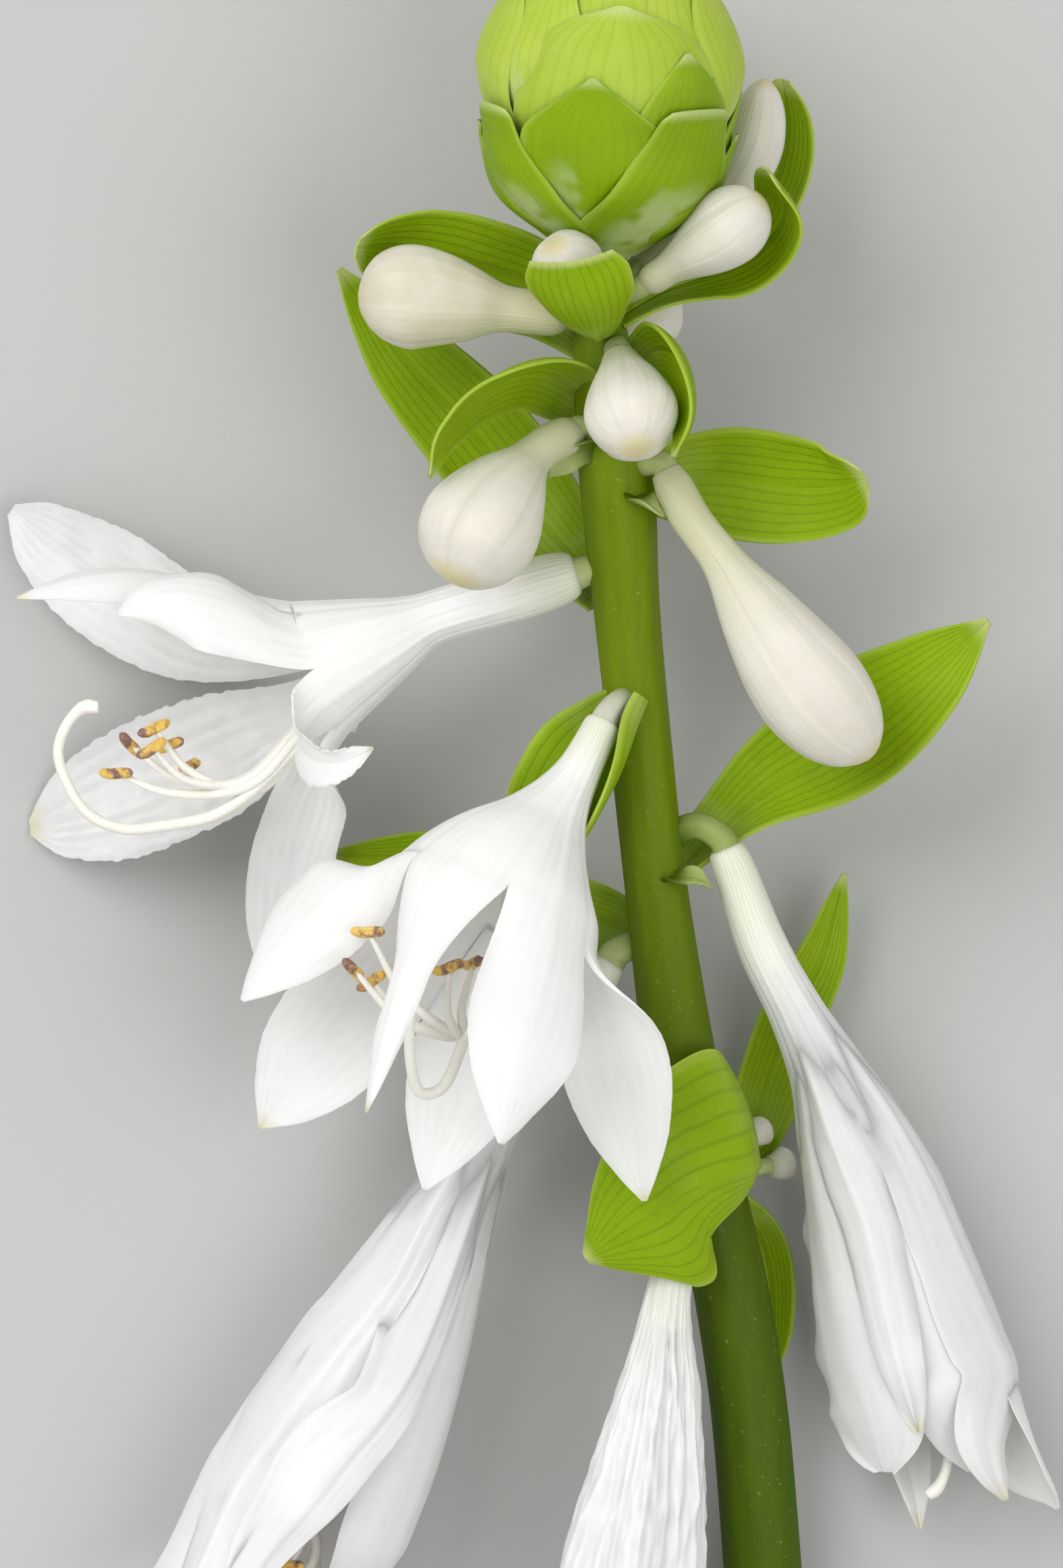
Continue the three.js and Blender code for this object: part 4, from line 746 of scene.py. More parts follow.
# a faded flower: long petals that lie over one another round the bell, and end in tips.
# angle is by share of the bell, lift is how far off its surface, outline is by share of the petal
def putWrap(skin, bell, petal, seed):
    petal = {**wrapDefaults, **petal}
    lift = [[petal["from"], petal["sunk"]], *petal["lift"]]
    share = np.linspace(petal["from"], petal["upTo"], wrapSteps["knots"])
    angle = np.radians(along(petal["angle"], share))
    radius = along(bell.radii, share) + along(lift, share)
    path = through([*ring(bell.path, share, angle, radius), *petal["end"]])
    shareAt = path.share[0:curveSteps * len(share):curveSteps]
    mouth = shareAt[-1]
    outline = petal["outline"]
    otherSide = petal.get("otherSide", outline)

    def surface(s, u):
        s, u = together(s, u)
        onBell = np.interp(u, shareAt, share)
        turn = np.radians(along(petal["angle"], onBell))
        near, aside = sidesOf(bell.path.way(onBell))
        outward = near * np.cos(turn)[..., None] + aside * np.sin(turn)[..., None]
        way = unit(path.at(u + 0.07) - path.at(u - 0.07))  # over a stretch, so that rows never cross
        outward = squared(outward, way)
        across = np.cross(way, outward)
        late = ease((u - mouth) / (1 - mouth))
        bend = (along(bell.radii, onBell) + along(lift, onBell)) * along(petal["open"], onBell)
        bend = mix(bend, petal["tipBend"], late)
        inside = np.clip(u, 0, 1)
        wide = petal["half"] * np.where(s < 0, along(otherSide, inside), along(outline, inside))
        turnAt = s * np.minimum(wide / bend, 1.7)
        p = arced(path.at(u), across, outward, bend, turnAt)
        relief = petal["keel"] * bump(s, 0.2) * ease(4 * u)
        relief = relief + petal["crease"] * creases(3 * s, u, (1.3, 2.1, 3.4, 5.2), seed) * ease(5 * u)
        relief = relief - 0.55 * s**2 * (1 - ease(2.2 * u))  # the middle leaves the tube first
        ripple = np.sin(26 * u + seed + np.sign(s)) + 0.6 * np.sin(47 * u - seed)
        relief = relief + petal["ripple"] * np.abs(s) ** 6 * ripple * ease(3 * u)
        if "lip" in petal:
            relief = relief + along(petal["lip"], inside) * (bump(s - 1, 0.18) - 0.9 * bump(s - 0.62, 0.24))
        return p + outward * relief[..., None]

    s, u = grid(wrapSteps["across"], wrapSteps["along"])
    q = surface(s, u)
    normal = facing(q)
    thick = mix(petalLook["wrapWall"], petalLook["edge"], np.maximum(np.abs(s) ** 5, u**12))
    length = 0.26 + 0.74 * u
    skin.sheet(q, q - normal * thick[..., None], np.abs(s), length, petal["tone"])


def makeBloom(number, name, flower):
    skin = Skin()
    bell = Bell(flower)
    wraps = flower.get("wraps")
    p, inner = putTube(skin, bell, flower, flower["tubeTo"] if wraps else 1, 7 + number)
    if wraps:
        for index, petal in enumerate(wraps):
            putWrap(skin, bell, petal, 10 * number + index)
    else:
        putOpenPetals(skin, bell, flower, p, inner)
    skin.make(name, "petal_white")


# stamens and style of each flower
stamenLook = {
    "stamens_left": {
        "flower": "flower_left", "share": [0.45, 0.8], "throat": [[-21.8, 4.6, 19.6], [-26.5, -0.1, 18.8]],
        "anthers": [[-39, 1, 18], [-37.6, 3.6, 20], [-35.6, 3.3, 22.5], [-34.1, 3.6, 19], [-32.1, 1.7, 17],
            [-35.4, 5.2, 21.5]],
        "style": [[-30, -3, 18.2], [-34.4, -3.9, 19], [-38.3, -4.2, 20], [-41.6, -2.8, 21], [-43.8, 0.6, 22],
            [-44.4, 3.2, 22.5], [-43.5, 5.7, 23], [-42, 7.2, 23.3], [-40.6, 7.2, 23.5]],
    },
    "stamens_front": {
        "flower": "flower_front", "share": [0.5, 0.8], "throat": [[-3.4, -18.6, 31], [-6, -23.4, 31.6]],
        "anthers": [[-15.2, -13.8, 34.2], [-16.5, -17.4, 35], [-14.9, -18.4, 33], [-7.7, -17.1, 36.5],
            [-5.4, -16.7, 35], [-4.2, -20.4, 36]],
        "style": [[-8.4, -28.4, 32.6], [-10.3, -28.8, 33.4], [-11.3, -25.5, 35], [-11, -19, 36.5],
            [-10.2, -15.1, 36.8]],
    },
    "stamens_right": {
        "flower": "flower_right_closed", "share": [0.228, 0.86],
        "throat": [[37.2, -56.6, 9.6], [38.6, -60, 10]], "anthers": [[40.6, -63.4, 10.4], [42, -62, 8]],
        "style": [[39.3, -62.6, 11.6], [39, -64.8, 12], [38.2, -66.4, 12], [37.3, -67, 12]],
    },
    "stamens_low_left": {
        "flower": "flower_low_left", "share": [0.256, 0.86],
        "throat": [[-19.2, -63.6, 12.4], [-20.4, -68, 14]],
        "anthers": [[-22.9, -73.6, 15.8], [-25.8, -77, 14], [-21, -78.6, 13], [-18.8, -76.6, 12.4]],
        "style": [[-20.2, -72, 15.4], [-21.6, -74.6, 15], [-24.6, -76, 14.4], [-27.4, -77.6, 14.6]],
    },
}


strandLook = {
    "filament": [[0, 0.46], [0.5, 0.54], [0.8, 0.46], [1, 0.26]],  # radii along it
    "anther": [[0, 0.16], [0.12, 0.44], [0.5, 0.52], [0.88, 0.44], [1, 0.14]],
    "style": [[0, 0.5], [0.6, 0.56], [0.95, 0.5], [0.985, 0.68], [1, 0.54]],
    "apart": [0.55, 0.62, 0.75],  # from the bundle's middle in the tube, before and at its fork
    "sag": 1.8,
    "antherReach": [0.8, 1.7],  # along an anther from its middle
    "antherBow": 0.35,
}


def makeStamens():
    look = strandLook
    apart, (inner, outer) = look["apart"], look["antherReach"]
    for number, (name, group) in enumerate(stamenLook.items()):
        skin = Skin()
        path = through(flowerLook[group["flower"]]["path"])
        before, fork = np.array(group["throat"], float)
        ahead = unit(fork - before)
        strands = len(group["anthers"]) + 1

        # a strand lies with the others down the tube and leaves them past the throat
        def strand(index, ends):
            turn = 2 * math.pi * index / strands + number
            lie = []
            for t in np.linspace(*group["share"], 6):
                lie.append(ring(path, np.array(t), np.array(turn), np.array(apart[0])))
            near, aside = sidesOf(ahead)
            beside = near * math.cos(turn) + aside * math.sin(turn)
            return through([*lie, before + beside * apart[1], fork + beside * apart[2], *ends])

        for index, anther in enumerate(np.array(group["anthers"], float)):
            sag = mix(anther, fork, 0.5) + ahead * look["sag"]
            roundBody(skin, strand(index, [sag, anther]), look["filament"], sides=14, rows=90)
            lean = unit(np.array([math.cos(index * 1.9), 0.5 * math.sin(index * 2.3), 0.4]))
            bow = np.cross(lean, ahead) * look["antherBow"]
            line = [anther - lean * outer - bow, anther - lean * inner, anther]
            line += [anther + lean * inner, anther + lean * outer - bow]

            def lobed(angle, t):
                return 1 - 0.32 * np.abs(np.cos(angle)) ** 8 + 0.08 * np.sin(9 * t + 3 * angle)

            roundBody(skin, through(line), look["anther"], sides=20, rows=24, shape=lobed, tone=1.0)
        style = strand(strands - 1, np.array(group["style"], float))
        roundBody(skin, style, look["style"], sides=16, rows=140, tone=0.3)
        skin.make(name, "stamen_cream")


# the buds: neck and bulb are radii, waist the share of the length that the neck takes
budLook = {
    "bud_right_large": {
        "from": [7.9, 29.6, 22], "stalk": 1.3,
        "path": [[12.6, 29.2, 25.2], [14.8, 25.1, 26], [17.7, 21.2, 27], [20.6, 16.8, 27.5],
            [24.4, 11.3, 27.5], [28.3, 6.5, 27], [31.8, 2.5, 26.5]],
        "neck": 1.8, "bulb": 5.3, "waist": 0.3,
    },
    "bud_left_front": {
        "from": [7.8, 31.4, 22.2], "stalk": 1.4,
        "path": [[4, 33, 25.2], [1.1, 31.4, 27], [-1.5, 28.6, 29.5], [-4.7, 23.8, 32.5], [-7.4, 19, 34.5]],
        "neck": 1.8, "bulb": 5.6, "waist": 0.28,
    },
    "bud_front": {
        "from": [7, 37.6, 23], "stalk": 1.3,
        "path": [[8.2, 40.2, 27.2], [8.7, 37.8, 29.6], [9.3, 34.6, 33.2], [9.9, 31.2, 36.4]], "neck": 1.7,
        "bulb": 4.3, "waist": 0.1,
    },
    "bud_left_upper": {
        "from": [6.4, 43, 23.8], "stalk": 1.4,
        "path": [[3, 43.9, 26.2], [-1.2, 44.3, 27.2], [-5.6, 44.9, 28], [-10.8, 45.6, 28.5],
            [-16.2, 45.2, 28.5]],
        "neck": 2, "bulb": 5, "waist": 0.3, "shade": 0.8,
    },
    "bud_middle": {
        "from": [6.4, 42.4, 23.8], "stalk": 1.2,
        "path": [[6.4, 43.6, 28.2], [4.6, 46.8, 30.8], [1.9, 50.3, 34.8]], "neck": 1.5, "bulb": 3.4,
        "waist": 0.1,
    },
    "bud_right_top": {
        "from": [6.3, 46, 24.2], "stalk": 1.1,
        "path": [[10, 48.6, 20.6], [16.2, 53.2, 17.6], [20.4, 59, 17.8], [22, 66.2, 19]], "neck": 1.4,
        "bulb": 2.9, "waist": 0.2,
    },
    "bud_right_side": {
        "from": [6.4, 44.6, 24.1], "stalk": 1.1,
        "path": [[10.7, 46.8, 26.6], [14.2, 49.1, 28], [18, 51.6, 30], [21.6, 54.8, 31]], "neck": 1.4,
        "bulb": 3.7, "waist": 0.2,
    },
    "bud_back": {
        "from": [7, 37.6, 23], "stalk": 1.2,
        "path": [[7.8, 41.2, 19.6], [9.6, 43.2, 13.8], [11.2, 45.4, 4.4]], "neck": 1.5, "bulb": 3.8,
        "waist": 0.2,
    },
    "bud_back_low_a": {
        "from": [16.2, -36, 12.2], "stalk": 0.8,
        "path": [[20.3, -33.4, 8.8], [21.2, -33, 8], [22.4, -32.4, 7]], "neck": 1, "bulb": 1.4, "waist": 0.1,
    },
    "bud_back_low_b": {
        "from": [16.6, -38, 12], "stalk": 0.8, "path": [[22.4, -36.1, 7.8], [23.4, -36, 7], [24.6, -35.6, 6]],
        "neck": 1, "bulb": 1.6, "waist": 0.1,
    },
}


# share of the way from the waist to the tip, and of the bulb's radius
bulbProfile = [[0.48, 0.93], [0.66, 1.0], [0.82, 0.86], [0.93, 0.58], [0.985, 0.27]]


def makeBuds():
    for number, (name, shape) in enumerate(budLook.items()):
        neck, bulb, waist = shape["neck"], shape["bulb"], shape["waist"]
        small = bulb < 2
        wide = 1 if small else 1.15
        radii = [[0, neck * 0.8], [0.05, neck * 1.02], [waist, neck * wide]]
        radii.append([mix(waist, 1, 0.25), mix(neck * wide, bulb, 0.5)])
        radii += [[mix(waist, 1, share), bulb * part] for share, part in bulbProfile]
        radii.append([1, bulb * 0.1])
        random = np.random.default_rng(60 + number)
        lean, twist, tilt = random.uniform(0, 6.28, 3)

        def petalled(angle, t):
            angle = angle + 0.35 * np.sin(twist) * t
            outer = np.cos(3 * angle + lean)  # three outer petals over three inner ones
            turn = (3 * angle + lean) / (2 * np.pi)
            seam = bump(turn % 1 - 0.5, 0.06) + 0.6 * bump((turn + 0.5) % 1 - 0.5, 0.05)
            soft = 0.02 * np.sin(2 * angle + tilt) + 0.014 * np.sin(5 * angle + 6 * t + twist)
            return 1 + (0.2 if small else 1) * (0.03 * outer - 0.028 * seam + soft) * ease(2.5 * t)

        skin = Skin()
        roundBody(
            skin, through(shape["path"]), radii, sides=120, rows=90, shape=petalled,
            tone=waist, shade=shape.get("shade", 0), spread=0.9,
        )
        skin.make(name, "bud_white")


# a leaf-like blade: path is its midrib, face where its inner side looks, half its half width,
# and cup how far it is rolled, in degrees
bladeThin = 0.5  # share of its thickness that a blade loses towards its margin and its tip
bractOutline = [[0, 0.5], [0.18, 0.82], [0.42, 1], [0.7, 0.8], [0.88, 0.42], [1, 0.06]]


def bladeSurface(shape, relief):
    path = through(shape["path"])
    face = np.array(shape["face"], float)
    faceTip = np.array(shape.get("faceTip", shape["face"]), float)
    cup = shape["cup"]
    cupTip = shape.get("cupTip", cup * 0.6)
    outline = shape.get("outline", bractOutline)
    otherSide = shape.get("otherSide", outline)
    hug, hugTip = shape.get("hug", [1, 1])  # how much further the other side is rolled

    def surface(s, t):
        s, t = together(s, t)
        way = path.way(t)
        looks = face + (faceTip - face) * np.clip(t, 0, 1)[..., None]
        looks = squared(looks, way)
        across = np.cross(way, looks)
        inside = np.clip(t, 0, 1)
        width = shape["half"] * np.where(s < 0, along(otherSide, inside), along(outline, inside))
        roll = np.radians(mix(cup, cupTip, ease(inside)))
        roll = roll * np.where(s < 0, mix(hug, hugTip, ease(1.5 * inside)), 1)
        bend = width / roll
        p = arced(path.at(t), across, -looks, bend, s * roll)
        return p + looks * relief(s, t)[..., None]

    return surface


def putBlade(skin, surface, thickness, steps=48, rows=64, tone=0.0):
    s, t = grid(steps, rows)
    p = surface(s, t)
    step = 2e-3
    overS = surface(s + step, t) - surface(s - step, t)
    overT = surface(s, t + step) - surface(s, t - step)
    normal = unit(np.cross(overS, overT))
    wall = thickness / 2 * (1 - bladeThin * np.abs(s) ** 6) * (1 - bladeThin * t**8)
    skin.sheet(p + normal * wall[..., None], p - normal * wall[..., None], np.abs(s), t, tone)


# the bracts, one below each flower and bud
bractLook = {
    "bract_left_back": {
        "path": [[7.4, 17.8, 17.6], [0.8, 25.4, 14.8], [-5.6, 33.4, 16.8], [-12, 40.4, 18.6],
            [-18.1, 48.3, 21]],
        "face": [0.2, -0.3, 1], "half": 5.4, "cup": 38,
    },
    "bract_right_upper": {
        "path": [[9, 28, 21.6], [13.8, 28.8, 20.6], [18, 28.8, 20.2], [23.8, 28, 20.4], [28.6, 28, 21.9],
            [31.3, 28.6, 24]],
        "face": [0, -0.3, 1], "half": 5.6, "cup": 40,
        "outline": [[0, 0.42], [0.18, 0.78], [0.42, 1], [0.7, 0.96], [0.88, 0.76], [0.96, 0.5], [1, 0.2]],
    },
    "bract_right_pointed": {
        "path": [[12.4, -9.6, 14.6], [16.6, -5.4, 11.8], [21.9, -0.6, 13.2], [28.3, 3.3, 16.2], [36, 9.1, 19],
            [42.9, 15.3, 21]],
        "face": [-0.4, 0.3, 1], "faceTip": [-0.1, 0.1, 1], "half": 6.4, "cup": 62, "cupTip": 22,
        "outline": [[0, 0.34], [0.2, 0.5], [0.42, 0.84], [0.62, 1], [0.84, 0.62], [1, 0.06]],
    },
    "bract_low_wrapped": {
        "path": [[21.2, -36, 12.6], [20.2, -36.4, 18.6], [15.8, -37.6, 22.5], [10.4, -40.8, 22.4],
            [5.1, -44.5, 19.8]],
        "face": [-0.95, 0, 0.2], "faceTip": [0, 0, -1], "half": 12, "cup": 34, "cupTip": 24,
        "outline": [[0, 0.12], [0.2, 0.22], [0.38, 0.4], [0.54, 0.66], [0.64, 0.84], [0.73, 0.76],
            [0.86, 0.42], [1, 0.05]],
        "otherSide": [[0, 0.75], [0.15, 0.95], [0.35, 1], [0.6, 0.78], [0.82, 0.42], [1, 0.05]],
    },
    "bract_behind_left": {
        "path": [[12, -15.2, 13], [6.6, -12.8, 10.2], [-1, -11, 10.4], [-8.8, -7.6, 11.4],
            [-19.2, -6.6, 12.6]],
        "face": [0.1, -0.1, 1], "half": 4, "cup": 34,
    },
    "bract_flower_front": {
        "path": [[9.8, 8, 20.4], [8.6, 5.8, 20.8], [6.2, 1.4, 21.8], [3, -3.6, 21.4], [-0.4, -8.6, 19.4]],
        "face": [-0.5, 0.1, 1], "half": 7, "cup": 50, "cupTip": 46, "hug": [2.9, 1.6],
        "outline": [[0, 0.36], [0.12, 0.62], [0.3, 0.92], [0.5, 1], [0.72, 0.86], [0.88, 0.5], [1, 0.06]],
        "otherSide": [[0, 0.58], [0.12, 0.72], [0.3, 0.86], [0.5, 0.8], [0.72, 0.74], [0.88, 0.46],
            [1, 0.06]],
    },
    "bract_bud_right_top": {
        "path": [[7.4, 44.8, 21.2], [12, 47.4, 15.8], [18.6, 51.6, 12.8], [22.8, 56.6, 13], [24, 61.4, 14.2],
            [23.7, 66.2, 17]],
        "face": [-0.4, 0.2, 1], "faceTip": [-0.5, -0.2, 0.9], "half": 4, "cup": 44,
        "outline": [[0, 0.42], [0.25, 0.7], [0.5, 1], [0.75, 0.96], [0.9, 0.74], [0.97, 0.46], [1, 0.2]],
    },
    "bract_bud_right_side": {
        "path": [[8, 43.4, 24], [12.2, 46, 22.8], [16.8, 47.8, 22.6], [21.2, 50, 24.2], [23.8, 53.8, 27],
            [22, 57.4, 30.6]],
        "face": [-0.2, 0.5, 1], "faceTip": [-0.8, -0.3, 0.4], "half": 4.2, "cup": 48,
        "outline": [[0, 0.34], [0.25, 0.6], [0.5, 1], [0.75, 0.96], [0.9, 0.72], [0.97, 0.46], [1, 0.2]],
    },
    "bract_bud_left_upper": {
        "path": [[6, 41.6, 22.4], [1.6, 46, 20.6], [-5.6, 48.6, 21.4], [-12, 50, 23], [-16.4, 50.2, 26.6]],
        "face": [0, -0.3, 1], "half": 5.3, "cup": 38,
        "outline": [[0, 0.5], [0.18, 0.82], [0.42, 1], [0.7, 0.93], [0.88, 0.68], [0.96, 0.44], [1, 0.2]],
    },
    "bract_bud_middle": {
        "path": [[6.2, 41.8, 28.8], [5.9, 42.2, 31], [5, 44.4, 36], [3.6, 48.5, 39.6]],
        "face": [0, 0.9, -0.5], "half": 5.2, "cup": 46,
        "outline": [[0, 0.34], [0.3, 0.66], [0.6, 0.95], [0.85, 1], [1, 0.8]],
    },
    "bract_bud_left_front": {
        "path": [[6.8, 34, 22.6], [5.1, 36, 23], [0.8, 38.5, 27], [-4.4, 36.6, 31], [-8.2, 32.8, 34],
            [-9.5, 28.6, 36]],
        "face": [0.2, -0.8, 0.5], "half": 4.8, "cup": 40,
    },
    "bract_bud_front": {
        "path": [[8.8, 37.4, 23.8], [11, 40.2, 26], [13, 40.4, 29.4], [14.6, 37.8, 32.4], [14.8, 34, 34.4],
            [13.2, 30.4, 35.6]],
        "face": [-0.7, -0.7, 0.3], "faceTip": [-0.9, 0.1, 0.3], "half": 4.4, "cup": 52,
        "outline": [[0, 0.34], [0.2, 0.6], [0.45, 1], [0.7, 0.8], [0.88, 0.42], [1, 0.06]],
    },
    "bract_bud_back": {
        "path": [[7, 44, 20], [5.2, 46.8, 16], [6, 49, 10.6], [7.6, 49.8, 6.2], [9, 49.4, 3.2]],
        "face": [0, -1, -0.3], "half": 3.5, "cup": 40,
    },
    "bract_back_upper": {
        "path": [[17.6, -36.2, 9.8], [20.4, -33.6, 5.4], [22.8, -27.4, 4.6], [25.2, -20.8, 4.8],
            [27.3, -16.5, 5.4], [29.6, -8.5, 6.4]],
        "face": [0.3, 0, 1], "half": 3.5, "cup": 30,
    },
    "bract_back_lower": {
        "path": [[18.8, -39, 8.6], [21.8, -43.6, 5], [22.8, -50.4, 4.6], [22.2, -57.3, 5.6]],
        "face": [-0.2, 0.2, 1], "half": 2.6, "cup": 30,
    },
}


def veinRelief(height, seed, fold=0.25):
    def relief(s, t):
        wave = 0.5 + 0.5 * np.cos(2 * np.pi * (5.5 * s + 0.15 * np.sin(3 * t + seed)))
        valley = -fold * bump(s, 0.09) * (1 - 0.6 * np.clip(t, 0, 1))
        edge = np.abs(s) ** 4 * 0.35 * np.sin(9 * t + 2.1 * seed + 2 * np.sign(s))
        return height * wave + valley + edge * np.sin(np.pi * np.clip(t, 0, 1))

    return relief


def makeBracts():
    for number, (name, shape) in enumerate(bractLook.items()):
        skin = Skin()
        putBlade(skin, bladeSurface(shape, veinRelief(0.015, number)), 0.6, tone=(number * 0.37) % 1)
        skin.make(name, "bract_green")


# the head: young bracts in a spiral round a small core
headLook = {
    "axis": [[6.4, 49.4, 24.8], [8.2, 80.4, 30.2]],
    "length": 31.5,
    "radii": [
        [0, 3], [2, 6], [4.5, 8.4], [8, 9.7], [12, 10.6], [18, 11.6], [21, 11], [24.6, 9],
        [28.5, 5.4], [31.5, 1.2],
    ],  # by height
    "share": 0.95,  # of those radii for the innermost scales
    "coreShare": 0.86,
    # angle of the root and of the tip from the side nearest +Z, height of the root and of the tip,
    # half width, how proud it stands, and its outline
    "scales": [
        [10, 5, 12, 31, 9.5, 0.0, "pointed"], [130, 125, 12, 30.9, 9.5, 0.15, "pointed"],
        [-112, -112, 11, 30.8, 9.5, 0.3, "pointed"], [60, 58, 9, 30.2, 9.5, 0.45, "pointed"],
        [178, 178, 9, 29.6, 9.5, 0.6, "pointed"], [-52, -50, 8, 29.2, 8.6, 0.72, "pointed"],
        [3, 4, 6, 25, 10.4, 0.9, "broad"], [150, 150, 5, 25, 8.5, 1.0, "broad"],
        [-150, -150, 5, 24, 8.5, 1.08, "broad"], [104, 74, 6, 27.4, 6.6, 1.2, "broad"],
        [-96, -84, 6, 26.6, 7.8, 1.28, "broad"], [56, 36, 3, 21, 7.4, 1.3, "pointed"],
        [110, 105, 1.5, 17, 7.2, 1.45, "pointed"], [-120, -118, 1.5, 17.5, 7.2, 1.5, "pointed"],
        [-7.5, -7, 1.6, 18.6, 7.4, 1.6, "diamond"], [168, 168, 1, 15, 7.5, 1.62, "pointed"],
        [90, 86, 0.6, 12.5, 6.5, 1.75, "pointed"], [-100, -100, 0.6, 12, 6.5, 1.8, "pointed"],
        [-160, -160, 0.5, 11, 6, 1.85, "pointed"], [140, 140, 0.5, 11.5, 6, 1.9, "pointed"],
        [-48, -60, 0.8, 14.8, 5.2, 2.0, "flat"], [35, 42, 0.6, 15.8, 7.2, 2.1, "flat"],
    ],
    "outlines": {
        "pointed": [[0, 0.6], [0.2, 0.9], [0.42, 1], [0.66, 0.8], [0.86, 0.4], [1, 0.05]],
        "broad": [[0, 0.7], [0.3, 1], [0.6, 1], [0.8, 0.85], [0.93, 0.5], [1, 0.08]],
        "diamond": [[0, 0.5], [0.3, 0.78], [0.55, 0.97], [0.7, 0.94], [0.85, 0.52], [1, 0.04]],
        "flat": [[0, 0.75], [0.25, 1], [0.5, 0.92], [0.8, 0.68], [0.95, 0.58], [1, 0.46]],
    },
}


def makeHead():
    look = headLook
    foot, top = np.array(look["axis"], float)
    axis = unit(top - foot)
    near, aside = sidesOf(axis)
    skin = Skin()
    radii = [[height / look["length"], radius * look["coreShare"]] for height, radius in look["radii"]]
    roundBody(skin, through([foot, (foot + top) / 2, top]), radii, sides=48, rows=48, tone=0.8)
    for k, (turn, tipTurn, root, tip, half, proud, outline) in enumerate(look["scales"]):
        relief = veinRelief(0.012, k, 0.0)

        def surface(s, t):
            s, t = together(s, t)
            inside = np.clip(t, 0, 1)
            wide = half * along(look["outlines"][outline], inside)
            height = mix(root, tip, t) - 0.25 * np.abs(s) ** 3
            radius = look["share"] * along(look["radii"], np.clip(height, 0, look["length"]))
            radius = radius * mix(0.84, 1, ease(inside * 2.2)) + proud * ease(inside * 1.6)
            radius = radius + 0.3 * bump(s, 0.3) * (1 - inside) + 0.35 * inside**6 - 0.22 * np.abs(s) ** 4
            radius = radius + relief(s, t)
            turned = s * np.minimum(wide / np.maximum(radius, 0.8), 1.5)
            angle = np.radians(mix(turn, tipTurn, ease(inside))) + turned
            out = near * np.cos(angle)[..., None] + aside * np.sin(angle)[..., None]
            return foot + axis * height[..., None] + out * radius[..., None]

        putBlade(skin, surface, 0.45, tone=ease((tip - 15) / 15))
    skin.make("head", "head_green")


# the stem, with the short stalks of the flowers and buds
stemLook = {
    "path": [
        [23.3, -92, 3.7], [21.9, -74.4, 6.3], [20.5, -58.6, 8.8], [18.7, -47.2, 10.6], [16.1, -35.7, 12.4],
        [13.8, -24.5, 14.2], [11.6, -8.8, 16.6], [10.2, 4, 18.4], [8.9, 16.8, 20.2], [7.9, 29.6, 22],
        [6.8, 38.5, 23.2], [6.3, 45, 24.1], [6.38, 49.05, 24.75],
    ],
    "radii": [
        [0, 3.7], [0.24, 3.6], [0.4, 3.4], [0.48, 3.35], [0.59, 2.95], [0.68, 2.95],
        [0.77, 3.1], [0.86, 3.5], [0.925, 2.9], [0.97, 2.3], [1, 2.2],
    ],
    "ridges": 9,
    "ridgeHeight": 0.012,  # share of the radius
    "seatDepth": 0.25,  # how far a stalk runs into its flower
    # small bracts that never grew
    "stubs": [
        {"path": [[9.6, 27, 24], [10, 26.6, 25.6], [11.2, 26, 26.8], [12.4, 25, 27]],
            "face": [0.2, 0.9, 0.4], "half": 1.5, "cup": 40},
        {"path": [[7.6, 31.6, 24.2], [5.6, 31.6, 25.4], [3.6, 30.6, 25.6], [1.6, 28.8, 25]],
            "face": [0, -0.7, 0.7], "half": 1.7, "cup": 46},
        {"path": [[12.4, -9, 18.6], [14, -8.8, 20], [15.6, -8.9, 20.2], [17, -9.8, 19.6]],
            "face": [0, 0.7, 0.6], "half": 1.2, "cup": 50},
    ],
}


def makeStem():
    skin = Skin()
    ridges, height = stemLook["ridges"], stemLook["ridgeHeight"]

    def ribbed(angle, t):
        drift = 0.5 * np.sin(5 * t + 1)
        return 1 + height * np.cos(ridges * angle + drift) + 0.6 * height * np.sin(4 * angle + 9 * t)

    roundBody(skin, through(stemLook["path"]), stemLook["radii"], sides=72, rows=220, shape=ribbed)
    for owner in [*flowerLook.values(), *budLook.values()]:
        first, second = np.array(owner["path"][:2], float)
        towards = unit(second - first)
        end = first + towards * stemLook["seatDepth"]
        path = through([owner["from"], *owner.get("via", []), end - towards, end])
        radius = owner["stalk"]
        radii = [[0, radius * 1.35], [0.35, radius * 0.94], [0.7, radius * 0.9], [1, radius * 0.98]]

        def ribbedStalk(angle, t):
            return 1 + 0.03 * np.sin(5 * angle + 4 * t) + 0.02 * np.sin(3 * angle - 7 * t)

        roundBody(skin, path, radii, sides=24, rows=24, shape=ribbedStalk, tone=owner.get("pale", 0.5))
    for number, stub in enumerate(stemLook["stubs"]):
        putBlade(skin, bladeSurface(stub, veinRelief(0.01, number, 0.08)), 0.35, steps=16, rows=24, tone=0.4)
    skin.make("stem", "stem_green")


makeStem()
makeHead()
print("stem and head made")
makeBracts()
makeBuds()
print("bracts and buds made")
for number, (name, flower) in enumerate(flowerLook.items()):
    makeBloom(number, name, flower)
makeStamens()
print("flowers made")


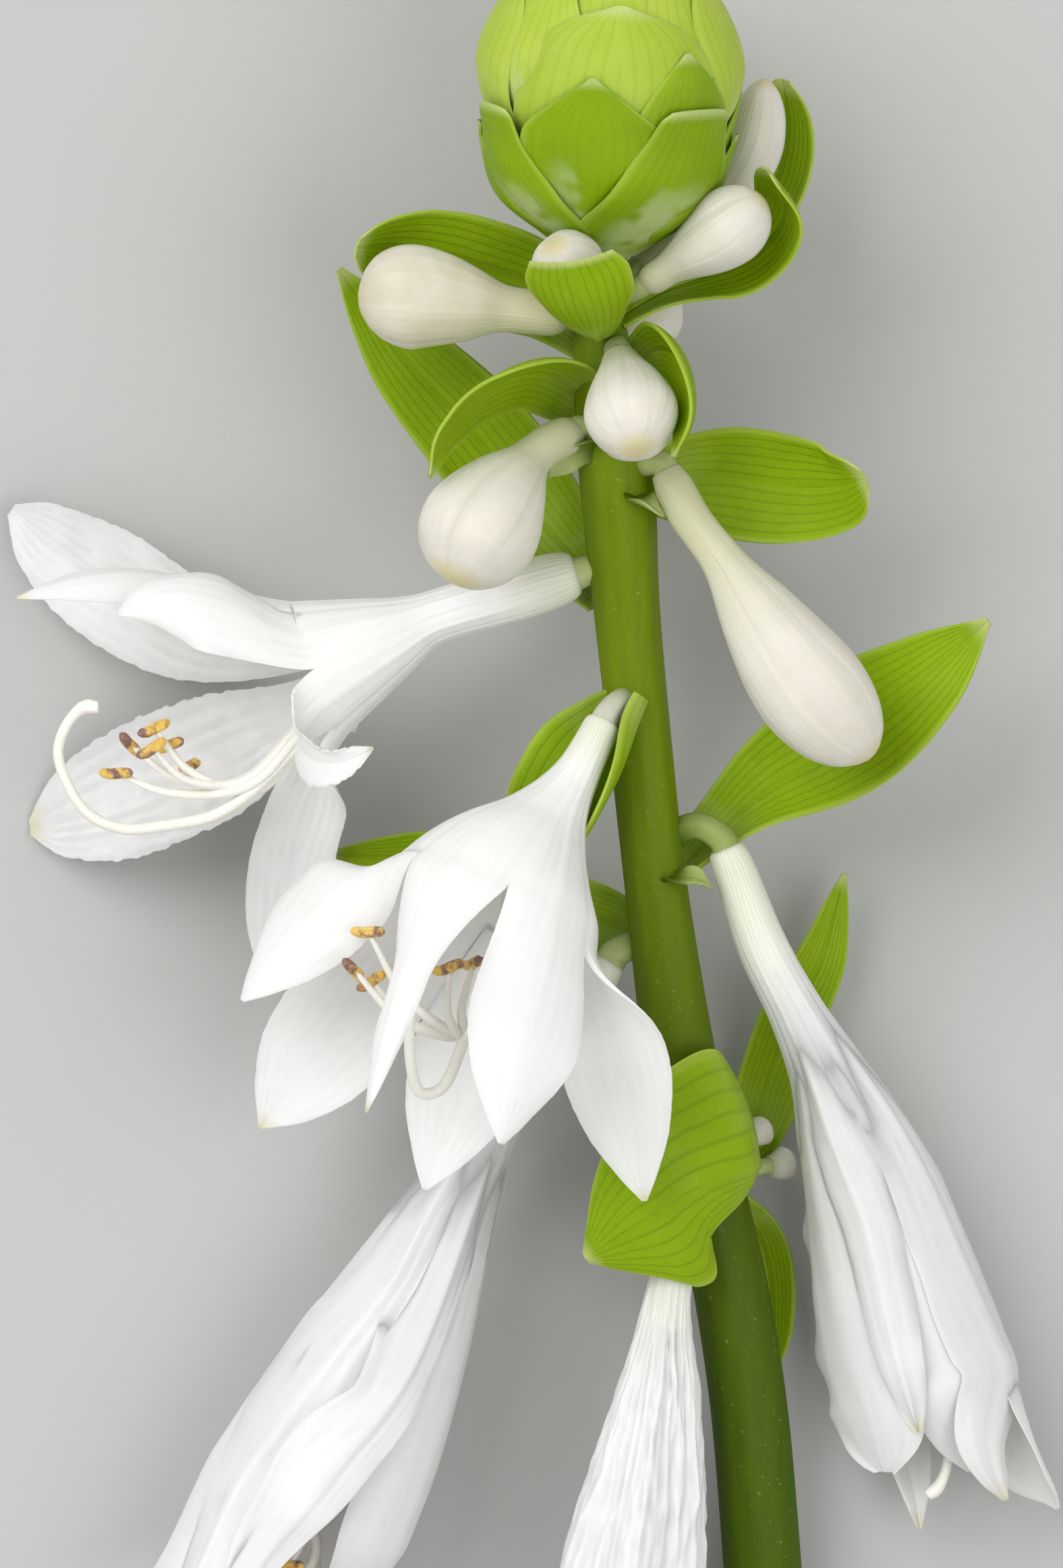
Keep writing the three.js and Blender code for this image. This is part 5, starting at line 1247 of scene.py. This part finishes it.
# the table, the lights and the camera, in metres
stageLook = {
    "floor": (0.50, 0.50, 0.495),
    "cameraHeight": 2.0,
    "viewHeight": 0.1487,  # what the picture shows from top to bottom
    "key": {"at": (-0.95, 0.75, 1.45), "size": 1.5, "power": 20},
    "fill": {"at": (0.9, -0.4, 1.8), "size": 1.4, "power": 12},
    "sky": 0.6,
}


def makeFloor():
    mesh = bpy.data.meshes.new("Floor")
    mesh.from_pydata([(-6, -6, 0), (6, -6, 0), (6, 6, 0), (-6, 6, 0)], [], [(0, 1, 2, 3)])
    f = Finish("table", rough=0.7)
    tint = stageLook["floor"]
    f.colour = f.blend(f.noise(60, 3), tuple(0.97 * c for c in tint), tint)
    mesh.materials.append(f.use(f.noise(1.5, 3), 0.02))
    floor = bpy.data.objects.new("Floor", mesh)
    bpy.context.scene.collection.objects.link(floor)


def makeLight(name, look):
    lamp = bpy.data.lights.new(name, "AREA")
    lamp.shape = "DISK"
    lamp.size = look["size"]
    lamp.energy = look["power"]
    light = bpy.data.objects.new(name, lamp)
    bpy.context.scene.collection.objects.link(light)
    light.location = look["at"]
    light.rotation_euler = (-Vector(look["at"])).to_track_quat("-Z", "Y").to_euler()
    light.visible_camera = False


def makeCamera():
    camera = bpy.data.cameras.new("Camera")
    camera.sensor_fit = "VERTICAL"
    camera.sensor_height = 36
    camera.sensor_width = 36
    camera.lens = 36 * stageLook["cameraHeight"] / stageLook["viewHeight"]
    camera.clip_end = 50
    eye = bpy.data.objects.new("Camera", camera)
    bpy.context.scene.collection.objects.link(eye)
    x, y, _ = toFrame([0, 0, 0])
    eye.location = (x, y, stageLook["cameraHeight"])
    bpy.context.scene.camera = eye


scene = bpy.context.scene
scene.view_settings.view_transform = "Standard"
world = bpy.data.worlds.new("Studio")
scene.world = world
world.use_nodes = True
world.node_tree.nodes["Background"].inputs["Color"].default_value = (1.0, 0.995, 0.985, 1)
world.node_tree.nodes["Background"].inputs["Strength"].default_value = stageLook["sky"]
makeFloor()
makeLight("Key", stageLook["key"])
makeLight("Fill", stageLook["fill"])
makeCamera()
print("stage set")
